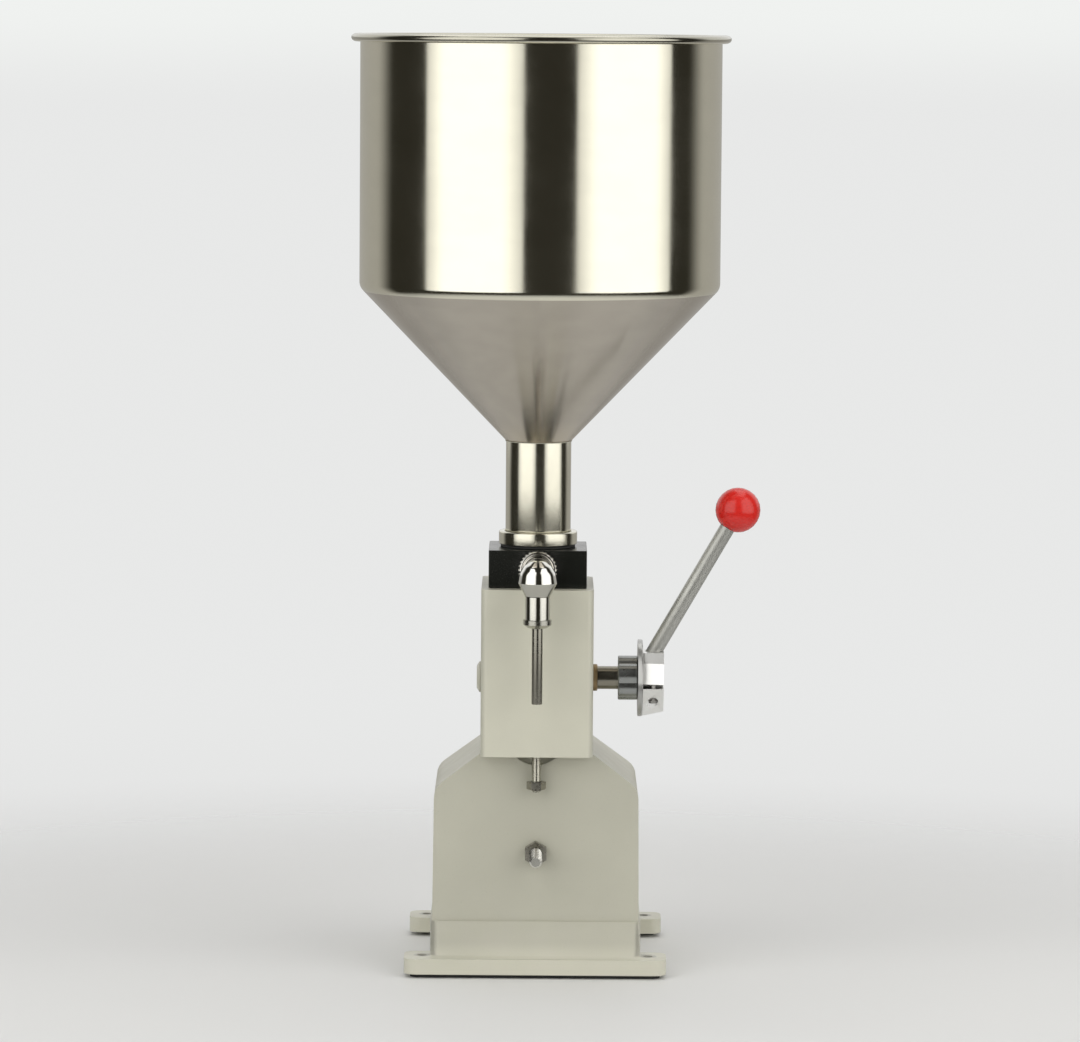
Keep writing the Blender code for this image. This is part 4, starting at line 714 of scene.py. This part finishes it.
class FillerStage(bpy.types.PropertyGroup):
    """Camera, lamps and floor."""

    lens: bpy.props.FloatProperty(
        name="Lens", description="Focal length of the camera", default=180.0, min=20, max=400,
        subtype="DISTANCE_CAMERA", unit="CAMERA")
    distance: bpy.props.FloatProperty(
        name="Distance", description="From the camera to the hopper's axis, level with the floor",
        default=4.19, min=1, max=20, unit="LENGTH")
    height: bpy.props.FloatProperty(
        name="Height", description="Height of the camera above the base's underside", default=0.750, min=0,
        max=5, unit="LENGTH")
    pitch: bpy.props.FloatProperty(
        name="Pitch", description="How far the camera looks down", default=math.radians(5.463),
        subtype="ANGLE")
    yaw: bpy.props.FloatProperty(
        name="Yaw", description="How far the camera looks to the right", default=math.radians(0.02),
        subtype="ANGLE")
    roll: bpy.props.FloatProperty(
        name="Roll", description="How far the camera leans", default=math.radians(0.41), subtype="ANGLE")
    side: bpy.props.FloatProperty(
        name="Side", description="How far the camera stands to the right", default=0.0, unit="LENGTH")
    lamp: bpy.props.FloatProperty(
        name="Lamp", description="Brightness of the surface of the soft boxes", default=1.22, min=0, max=10)
    edge: bpy.props.FloatProperty(
        name="Edge", description="Brightness of the soft boxes at their edges, as a share", default=0.5,
        min=0, max=1)
    top: bpy.props.FloatProperty(
        name="Top", description="Brightness of the box overhead, as a share", default=0.9, min=0, max=4)
    fill: bpy.props.FloatProperty(
        name="Fill", description="Brightness of the room", default=0.30, min=0, max=2)


# ---- operators ---------------------------------------------------------------------------------------------


class FILLER_OT_finishes(bpy.types.Operator):
    """Make the finishes and give them to the CAD parts that show as they are"""

    bl_idname = "filler.finishes"
    bl_label = "Finishes"

    def execute(self, context):
        make_finishes(context.scene.filler_colours)
        coated("sleeve_steel", "cylinder_sleeve")
        coated("piston_steel", "piston_head")
        coated("seal_rubber", "piston_seal_upper", "piston_seal_lower", "hopper_gasket")
        coated("gear_steel", "rack", "pinion", "pinion_key", "retaining_ring")
        coated("ground_steel", "stop_arm", "piston_screw", "arm_screw", "hub_clamp_screw",
               "collar_set_screw", *(f"column_bolt_{i}" for i in range(1, 5)),
               *(f"block_screw_{i}" for i in range(1, 5)))
        coated("plate_steel", "bottom_cover")
        coated("hopper_steel", "inlet_ball", "outlet_ball", "inlet_cage")
        coated("bronze", "bush_left")
        coated("zinc", "front_stud_lock_nut", "cover_screw_front", "cover_screw_rear")
        coated("black_rubber", "foot_strip_front", "foot_strip_rear")
        return {"FINISHED"}


class FILLER_OT_hopper(bpy.types.Operator):
    """Make the hopper: rolled rim, upright wall, cone, neck and ferrule"""

    bl_idname = "filler.hopper"
    bl_label = "Hopper"

    def execute(self, context):
        sizes = context.scene.filler_sizes
        low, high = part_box("hopper_shell")
        neck_low, neck_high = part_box("hopper_neck")
        wall, fillet, neck = 0.0015, 0.010, neck_high.x
        bead_z, knuckle_z, foot = 0.724, 0.5315, low.z
        bead_width, bead_height = 0.0085, 2 * (high.z - bead_z)
        outer = high.x - bead_width + wall
        inner = outer - wall
        slope = math.atan2(knuckle_z - foot, outer - neck)
        lift = wall * math.tan((math.pi / 2 - slope) / 2)
        centre = (inner + bead_width / 2, high.z - bead_height / 2)
        bead = [(centre[0] + bead_width / 2 * math.cos(a), centre[1] + bead_height / 2 * math.sin(a))
                for a in (math.radians(180 - 12 * i) for i in range(28))]
        bead = [p for p in bead if p[1] >= centre[1] - 1e-9 or p[0] > outer + sizes.rim_lip]
        tuck = (outer + sizes.rim_lip, centre[1] - bead_height * 0.28)
        outside = eased([bead[-1], tuck, (outer, tuck[1]), (outer, knuckle_z), (neck, foot)],
                        [0, 0, 0, fillet, 0], 12)
        inside = eased([(neck - wall, foot), (inner, knuckle_z + lift), bead[0]], [0, fillet - wall, 0], 12)
        section = bead[:-1] + outside + inside[:-1]
        shell = turned("hopper_bowl", section, "hopper_steel", sizes.sides, angle=24)
        cone_top = knuckle_z - 0.0035  # the cone's finish starts below the knuckle's curve

        def band(at):
            if at.z < cone_top:
                return 1
            return 2 if at.z > tuck[1] and at.xy.length > inner + 0.0002 else 0

        # the cone and the rolled rim take darkened copies of the wall's steel: painted reflection
        several(shell, band, "cone_steel", "rim_steel")
        finished(shell, "hopper", "polished_steel", "hopper_shell")

        section = [(neck, neck_low.z), (neck, neck_high.z), (neck - wall, neck_high.z),
                   (neck - wall, neck_low.z)]
        pipe = turned("neck_pipe", eased_all(section, 0.0002), "neck_steel", 128)
        finished(pipe, "hopper", "polished_steel", "hopper_neck")

        low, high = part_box("hopper_ferrule")
        radius, spigot, bore, socket = high.x, 0.020, 0.015, neck + 0.0003
        seat, step = 0.3318, high.z - 0.006
        section = [(socket, high.z), (radius, high.z), (radius, seat), (spigot, seat), (spigot, low.z),
                   (bore, low.z), (bore, seat), (neck - wall, step), (socket, step)]
        section = eased(section, [0.0003, 0.0012, 0.0008, 0.0003, 0.0008, 0.0008, 0, 0, 0.0002], 4)
        ferrule = turned("neck_ferrule", section, "neck_steel", 128)
        finished(ferrule, "hopper", "polished_steel", "hopper_ferrule")
        return {"FINISHED"}


class FILLER_OT_welds(bpy.types.Operator):
    """Make the weld beads at both ends of the hopper's neck"""

    bl_idname = "filler.welds"
    bl_label = "Weld beads"

    def execute(self, context):
        weld = context.scene.filler_sizes.weld
        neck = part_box("hopper_neck")[1]
        section = [(0, weld * 0.5), (weld * 0.75, weld * 0.3), (weld, 0), (weld * 0.75, -weld * 0.3),
                   (0, -weld * 0.5)]
        drop = turned("weld_drop", section, "neck_steel", 10, False)
        drop.data.transform(Matrix.Rotation(math.radians(-40), 4, "Y"))
        for name, z in (("weld_under_cone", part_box("hopper_shell")[0].z - weld * 0.35),
                        ("weld_on_ferrule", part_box("hopper_ferrule")[1].z + weld * 0.4)):
            bead = grow(name, rib_tree, bpy.data.meshes.new(name), "neck_steel", Count=150,
                        Radius=neck.x + weld * 0.1, Rib=drop)
            tidy_mesh(aim(bead, (0, 0, z)), 60)
            finished(bead, "hopper", "polished_steel")
        bpy.data.objects.remove(drop)
        return {"FINISHED"}


class FILLER_OT_block(bpy.types.Operator):
    """Make the valve block"""

    bl_idname = "filler.block"
    bl_label = "Valve block"

    def execute(self, context):
        softened("valve_body", "valve_block", "black_plastic", "root", "black_plastic")
        return {"FINISHED"}


class FILLER_OT_outlet(bpy.types.Operator):
    """Make the outlet: union ring with its ribs, elbow, connector, nozzle ring and nozzle"""

    bl_idname = "filler.outlet"
    bl_label = "Outlet"

    def execute(self, context):
        sizes = context.scene.filler_sizes
        axis_y = middle("nozzle_connector").y
        low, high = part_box("outlet_union_nut")
        radius, width, bore, depth = (high.x - low.x) / 2, high.y - low.y, 0.0103, 0.0012
        core = radius - depth
        chamfer = 0.0006
        section = [(bore, 0), (core, 0), (core, width), (bore, width)]
        ring = turned("union_core", eased_all(section, chamfer), "union_chrome")
        half = math.pi * core / sizes.ribs * 0.55
        outline = [(-0.0006, -half), (depth * 0.7, -half * 0.8), (depth, 0), (depth * 0.7, half * 0.8),
                   (-0.0006, half)]
        rib = prism("union_rib", outline, chamfer, width - chamfer, "union_chrome")
        ribs = grow("union_ribs", rib_tree, bpy.data.meshes.new("union_ribs"), "union_chrome",
                    Count=sizes.ribs, Radius=core, Rib=rib)
        bpy.data.objects.remove(rib)
        nut = merge("union_ring", ring, tidy_mesh(ribs, 20))
        aim(nut, (0, high.y, middle("outlet_union_nut").z), "Y")
        finished(nut, "root", "chrome", "outlet_union_nut")

        self.elbow(axis_y)
        softened("outlet_connector", "nozzle_connector", "connector_steel", "root", "chrome", 40)
        softened("outlet_ring", "nozzle_ring", "ring_steel", "root", "chrome", 28)
        low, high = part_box("nozzle_tube")
        radius, bore = (high.x - low.x) / 2, 0.0028
        section = [(radius, low.z), (radius, high.z), (bore, high.z), (bore, low.z)]
        nozzle = turned("nozzle_pipe", eased_all(section, 0.0003), "tube_steel", 64)
        finished(aim(nozzle, (0, axis_y, 0)), "root", "polished_steel", "nozzle_tube")
        self.spring()
        return {"FINISHED"}

    def spring(self):
        """The spring under the outlet ball, with a mesh of its own; how much of its length it keeps when the
        ball opens is worked out but not used.
        """
        low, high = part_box("outlet_spring")
        opening = next(j for j in frame["joints"] if j["name"] == "outlet_ball_open")
        travel = max(abs(end) for end in opening["range_m"])
        coil = softened("valve_spring", "outlet_spring", "ground_steel", "root", "ground_steel", 50)
        keep = 1 - travel / (high.z - low.z)
        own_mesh(coil)

    def elbow(self, axis_y):
        """A pipe with a round end that comes forward out of the block, over a bell that opens downwards."""
        low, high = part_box("outlet_elbow")
        crown, foot, edge, lip, socket, throat = high.z, low.z, 0.3095, 0.015, 0.0083, 0.0070
        section = [(0, crown), (0.0048, crown - 0.0004), (0.0104, crown - 0.0042), (0.0138, crown - 0.0095),
                   (lip, edge), (0.00965, foot), (throat, foot), (throat, foot + socket), (0, foot + socket)]
        section = eased(section, [0, 0.0060, 0.0080, 0.0100, 0.0008, 0.0006, 0.0002, 0, 0], 8)
        bell = aim(turned("outlet_bell", section, "outlet_chrome", closed=False, angle=28), (0, axis_y, 0))
        # painted shade: below its lip the bell takes the darker, rougher ring steel, standing in for the
        # shade inside the bell
        several(bell, lambda at: at.z < edge - 0.0004, "ring_steel")
        radius, reach = 0.010, high.y - axis_y
        arc = [math.pi / 24 * i for i in range(12)]
        dome = [(radius * math.cos(a), reach + radius * math.sin(a)) for a in arc]
        pipe = turned("outlet_pipe", [(0, 0), (radius, 0), *dome, (0, reach + radius)], "outlet_chrome",
                      closed=False)
        aim(pipe, (0, high.y, middle("outlet_union_nut").z), "Y")
        finished(merge("outlet_bend", bell, pipe), "root", "chrome", "outlet_elbow")


class FILLER_OT_castings(bpy.types.Operator):
    """Make the painted castings: base, column, back cover and end cap"""

    bl_idname = "filler.castings"
    bl_label = "Castings"

    def execute(self, context):
        softened("base_casting", "base_housing", "base_paint", "root", "beige_paint", 40)
        softened("column_casting", "column_housing", "beige_paint", "root", "beige_paint", 40)
        softened("back_plate", "column_back_cover", "beige_paint", "root", "beige_paint")
        softened("end_cap", "shaft_end_cap", "beige_paint", "root", "beige_paint", 15)
        return {"FINISHED"}


class FILLER_OT_lever(bpy.types.Operator):
    """Make the lever: shaft, collar, hub, rod and ball"""

    bl_idname = "filler.lever"
    bl_label = "Lever"

    def execute(self, context):
        softened("lever_shaft", "pinion_shaft", "shaft_steel", "lever", "polished_steel")
        self.collar()
        self.boss()
        softened("lever_bar", "lever_rod", "rod_steel", "lever", "chrome")
        knob = softened("lever_knob", "ball_knob", "red_plastic", "lever", "red_plastic", 45)
        knob.visible_glossy = False  # the brushed cone and neck show no clear image of it
        softened("shaft_bush", "bush_right", "bronze", "root", "bronze")
        return {"FINISHED"}

    def boss(self):
        """The hub, with the flat on its nose filed slightly out of square and its flange in darker chrome, a
        painted shade that dims the soft box's reflection there.
        """
        boss = softened("lever_boss", "lever_hub", "lever_chrome", "lever", "chrome", 25)
        (inner, _, _), (outer, _, _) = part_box("lever_hub")
        shaft, draft = middle("shaft_collar"), math.tan(math.radians(12))
        hinge, nose = outer - 0.008, 0.010  # where the filed flat stays in place, and how far it runs inwards
        front, below = shaft.y - 0.0165, shaft.z - 0.0045
        for vert in boss.data.vertices:
            if vert.co.x > hinge - nose and vert.co.y < front and vert.co.z > below:
                vert.co.y -= (vert.co.x - hinge) * draft
        flange = 0.0045  # its thickness
        # painted shade: the flange is the hub's chrome darkened, dimming the bright reflection of the right
        # soft box
        several(boss, lambda at: at.x < inner + flange, "flange_chrome")

    def collar(self):
        """A grip collar with rounded lobes along it."""
        node = "shaft_collar"
        (start, _, low), (end, _, high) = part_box(node)
        centre, length, radius = middle(node), end - start, (high - low) / 2
        bore = min(math.hypot(v.co.y - centre.y, v.co.z - centre.z) for v in NODES[node].data.vertices)
        lobes, depth, chamfer, first = 6, 0.0022, 0.0006, math.radians(-112)
        count = lobes * 20
        angles = [2 * math.pi * i / count for i in range(count)]
        rings = [(0, radius - chamfer, depth), (chamfer, radius, depth), (length - chamfer, radius, depth),
                 (length, radius - chamfer, depth), (length, bore, 0), (0, bore, 0)]
        bm = bmesh.new()
        rows = []
        for z, reach, dip in rings:
            spans = [reach - dip * (1 - abs(math.cos((a - first) * lobes / 2))) for a in angles]
            rows.append([bm.verts.new((r * math.cos(a), r * math.sin(a), z)) for a, r in zip(angles, spans)])
        for i, row in enumerate(rows):
            above = rows[(i + 1) % len(rows)]
            for k in range(count):
                bm.faces.new((row[k - 1], row[k], above[k], above[k - 1]))
        mesh = bpy.data.meshes.new("lever_collar")
        bm.to_mesh(mesh)
        bm.free()
        mesh.materials.append(finish("collar_chrome"))
        ring = aim(tidy_mesh(link("lever_collar", mesh), 25), (start, centre.y, centre.z), "X")
        finished(ring, "lever", "chrome", node)


class FILLER_OT_threads(bpy.types.Operator):
    """Make the threaded rod under the column, the front stud and their nuts"""

    bl_idname = "filler.threads"
    bl_label = "Threaded parts"

    def execute(self, context):
        sizes = context.scene.filler_sizes
        chamfer, play = 0.0006, 0.0001
        for name, node, axis, pitch, body in (("stop_bar", "stop_rod", "Z", sizes.rod_pitch, "piston"),
                                              ("table_stud", "front_stud", "Y", sizes.stud_pitch, "root")):
            low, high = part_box(node)
            length = (high - low).z if axis == "Z" else (high - low).y
            root = (high.x - low.x) / 2 - play - pitch * 0.5
            section = [(0, 0), (root - chamfer, 0), (root, chamfer), (root, length - chamfer),
                       (root - chamfer, length), (0, length)]
            core = turned(name + "_core", section, "zinc", 40, False)
            ridge = grow(name + "_ridge", thread_tree, bpy.data.meshes.new(name), "zinc",
                         Turns=(length - 2 * pitch) / pitch, Radius=root, Height=length - 2 * pitch,
                         Depth=pitch * 0.5)
            ridge.data.transform(Matrix.Translation((0, 0, pitch)))
            piece = merge(name, core, tidy_mesh(ridge, 50))
            centre = middle(node)
            start = (centre.x, centre.y, low.z) if axis == "Z" else (centre.x, high.y, centre.z)
            finished(aim(piece, start, axis), body, "chrome", node)
        softened("stop_hex", "stop_nut", "nut_zinc", "stop_nut", "chrome")
        softened("stud_hex", "front_stud_nut", "nut_zinc", "root", "chrome")
        return {"FINISHED"}


class FILLER_OT_screws(bpy.types.Operator):
    """Make the cap screws of the back cover"""

    bl_idname = "filler.screws"
    bl_label = "Cover screws"

    def execute(self, context):
        nodes = [f"back_cover_screw_{i}" for i in range(1, 5)]
        low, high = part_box(nodes[0])
        radius, length, head = (high.x - low.x) / 2, high.y - low.y, 0.0018
        socket, depth, shank = 0.0010, 0.0009, 0.0015
        section = [(0, depth), (socket, depth), (socket, 0), (radius * 0.62, 0), (radius * 0.92, head * 0.45),
                   (radius, head), (shank, head), (shank, length), (0, length)]
        button = turned("screw_part", section, "zinc", 32, False, 35)
        places = bpy.data.meshes.new("places")
        centres = [middle(n) for n in nodes]
        places.from_pydata([(c.x, c.z, -high.y) for c in centres], [], [])
        screws = grow("back_screws", scatter_tree, places, "zinc", Part=button)
        bpy.data.objects.remove(button)
        screws.data.transform(Matrix.Rotation(math.pi / 2, 4, "X"))
        finished(tidy_mesh(screws, 35), "root", "ground_steel", *nodes)
        return {"FINISHED"}


LAMP_WATTS = 4  # a square metre, for a lamp whose surface is as bright as white


class FILLER_OT_stage(bpy.types.Operator):
    """Set up the floor, the soft boxes, the room and the camera"""

    bl_idname = "filler.stage"
    bl_label = "Stage"

    def execute(self, context):
        scene, setup = context.scene, context.scene.filler_stage
        self.floor(CAD_BOX)
        self.room(scene, setup)
        for name, azimuth, width in (("left_box", -42.5, 2.15), ("right_box", 55.0, 2.2)):
            self.soft_box(name, azimuth, width, setup)
        self.lamp("top_box", (0, 0.5, 2.6), (0, 0.5, 0), (2.4, 2.0), setup.lamp * setup.top)
        camera = bpy.data.cameras.new("camera")
        camera.lens, camera.sensor_width, camera.clip_end = setup.lens, 36.0, 200.0
        obj = link("camera", camera)
        look = (Matrix.Rotation(-setup.yaw, 4, "Z") @ Matrix.Rotation(math.pi / 2 - setup.pitch, 4, "X")
                @ Matrix.Rotation(setup.roll, 4, "Z"))
        obj.matrix_world = Matrix.Translation((setup.side, -setup.distance, setup.height)) @ look
        scene.camera = obj
        scene.view_settings.view_transform = "Standard"
        return {"FINISHED"}

    def lamp(self, name, centre, target, size, brightness):
        """A rectangle whose surface has a given brightness."""
        lamp = bpy.data.lights.new(name, "AREA")
        lamp.shape, (lamp.size, lamp.size_y) = "RECTANGLE", size
        lamp.energy, lamp.color = brightness * LAMP_WATTS * size[0] * size[1], (1.0, 0.995, 0.97)
        obj = link(name, lamp)
        obj.location = centre
        obj.rotation_euler = (Vector(target) - Vector(centre)).to_track_quat("-Z", "Y").to_euler()
        obj.visible_camera = False

    def soft_box(self, name, azimuth, width, setup):
        """Sheets of falling width behind one another, so that the box fades towards its upright edges."""
        distance, gap, low, high, sheets = 1.7, 0.01, 0.05, 3.0, 6
        shares = [1] + [0.98 - 0.44 * i / sheets for i in range(sheets)]
        angle, tall = math.radians(azimuth), high - low
        for i, share in enumerate(shares):
            bright = setup.edge if i == 0 else (1 - setup.edge) / sheets
            sheet = f"{name}_{i - 1}" if i else name
            self.lamp(sheet, *self.on_arc(angle, distance + gap * i, low, high), (width * share, tall),
                      setup.lamp * bright)

    @staticmethod
    def on_arc(angle, distance, low, high):
        """A place round the machine, and the point on its axis that faces it."""
        z = (low + high) / 2
        return (distance * math.sin(angle), -distance * math.cos(angle), z), (0, 0, z)

    def floor(self, box):
        """A pale disc just under the machine that fades out into the room."""
        bm = bmesh.new()
        place = Matrix.Translation((0, 0, box[0][2] - 0.0002))
        bmesh.ops.create_circle(bm, cap_ends=True, segments=96, radius=3.2, matrix=place)
        mesh = bpy.data.meshes.new("floor")
        bm.to_mesh(mesh)
        bm.free()
        f = Finish("floor_sheet", (0.70, 0.70, 0.69), 0.6)
        x, y = f.axes()[:2]
        away = f.between((x * x + y * y) ** 0.5, 0.35, 1.1)
        cloud = f.between(f.noise(2.0), 0.3, 0.7)
        f.put(Base_Color=f.mix(cloud, (0.785, 0.785, 0.78, 1), (0.795, 0.795, 0.79, 1)))
        clear = f.node("ShaderNodeBsdfTransparent", {}, {})
        out = f.tree.nodes["Material Output"]
        blend = f.node("ShaderNodeMixShader", {}, {0: away, 1: Term(f, f.shader.outputs[0]), 2: clear})
        f.tree.links.new(blend.socket, out.inputs["Surface"])
        mesh.materials.append(f.mat)
        link("floor", mesh)

    def room(self, scene, setup):
        """White to the camera, pale behind the machine and dark in front of it for reflections."""
        world = bpy.data.worlds.new("room")
        world.use_nodes = True
        scene.world = world
        world.node_tree.nodes.clear()
        f = Nodes(world.node_tree, "Generated")
        y, z = (f.node("ShaderNodeSeparateXYZ", {}, {0: f.place}, i) for i in (1, 2))
        seen = f.node("ShaderNodeLightPath", {}, {}, "Is Camera Ray")
        glossy = f.node("ShaderNodeLightPath", {}, {}, "Is Glossy Ray")
        backdrop = f.mix(f.between(z, -0.19, -0.125), (0.70, 0.70, 0.695, 1), (0.805, 0.81, 0.805, 1))
        backdrop = f.mix(f.between(z, -0.02, 0.0), backdrop, (0.87, 0.885, 0.87, 1))
        behind = f.mix(f.between(z, 0.02, 0.10), (0.42, 0.41, 0.385, 1), (0.95, 0.95, 0.94, 1))
        mirrored = f.mix(f.between(y, 0.30, 0.62), (0.028, 0.026, 0.020, 1), behind)
        around = f.mix(glossy, (setup.fill, setup.fill, setup.fill * 0.99, 1), mirrored)
        shown = f.node("ShaderNodeBackground", {}, {"Color": f.mix(seen, around, backdrop), "Strength": 1.0})
        out = f.tree.nodes.new("ShaderNodeOutputWorld")
        f.tree.links.new(shown.socket, out.inputs["Surface"])


class FILLER_PT_panel(bpy.types.Panel):
    """Sizes, colours and pieces of the piston filler"""

    bl_idname = "FILLER_PT_panel"
    bl_label = "Piston filler"
    bl_space_type = "VIEW_3D"
    bl_region_type = "UI"
    bl_category = "Piston filler"

    def draw(self, context):
        for group in (context.scene.filler_colours, context.scene.filler_sizes, context.scene.filler_stage):
            box = self.layout.box()
            for name in group.__annotations__:
                box.prop(group, name)
        for step in STEPS:
            self.layout.operator(step.bl_idname)


GROUPS = {"filler_colours": FillerColours, "filler_sizes": FillerSizes, "filler_stage": FillerStage}
STEPS = (FILLER_OT_finishes, FILLER_OT_hopper, FILLER_OT_welds, FILLER_OT_block, FILLER_OT_outlet,
         FILLER_OT_castings, FILLER_OT_lever, FILLER_OT_threads, FILLER_OT_screws, FILLER_OT_stage)


def register():
    for cls in (*GROUPS.values(), *STEPS, FILLER_PT_panel):
        bpy.utils.register_class(cls)
    for name, group in GROUPS.items():
        setattr(bpy.types.Scene, name, bpy.props.PointerProperty(type=group))


def unregister():
    for name in GROUPS:
        delattr(bpy.types.Scene, name)
    for cls in reversed((*GROUPS.values(), *STEPS, FILLER_PT_panel)):
        bpy.utils.unregister_class(cls)


def main():
    register()
    for step in STEPS:
        group, name = step.bl_idname.split(".")
        getattr(getattr(bpy.ops, group), name)()


if __name__ == "__main__":
    main()
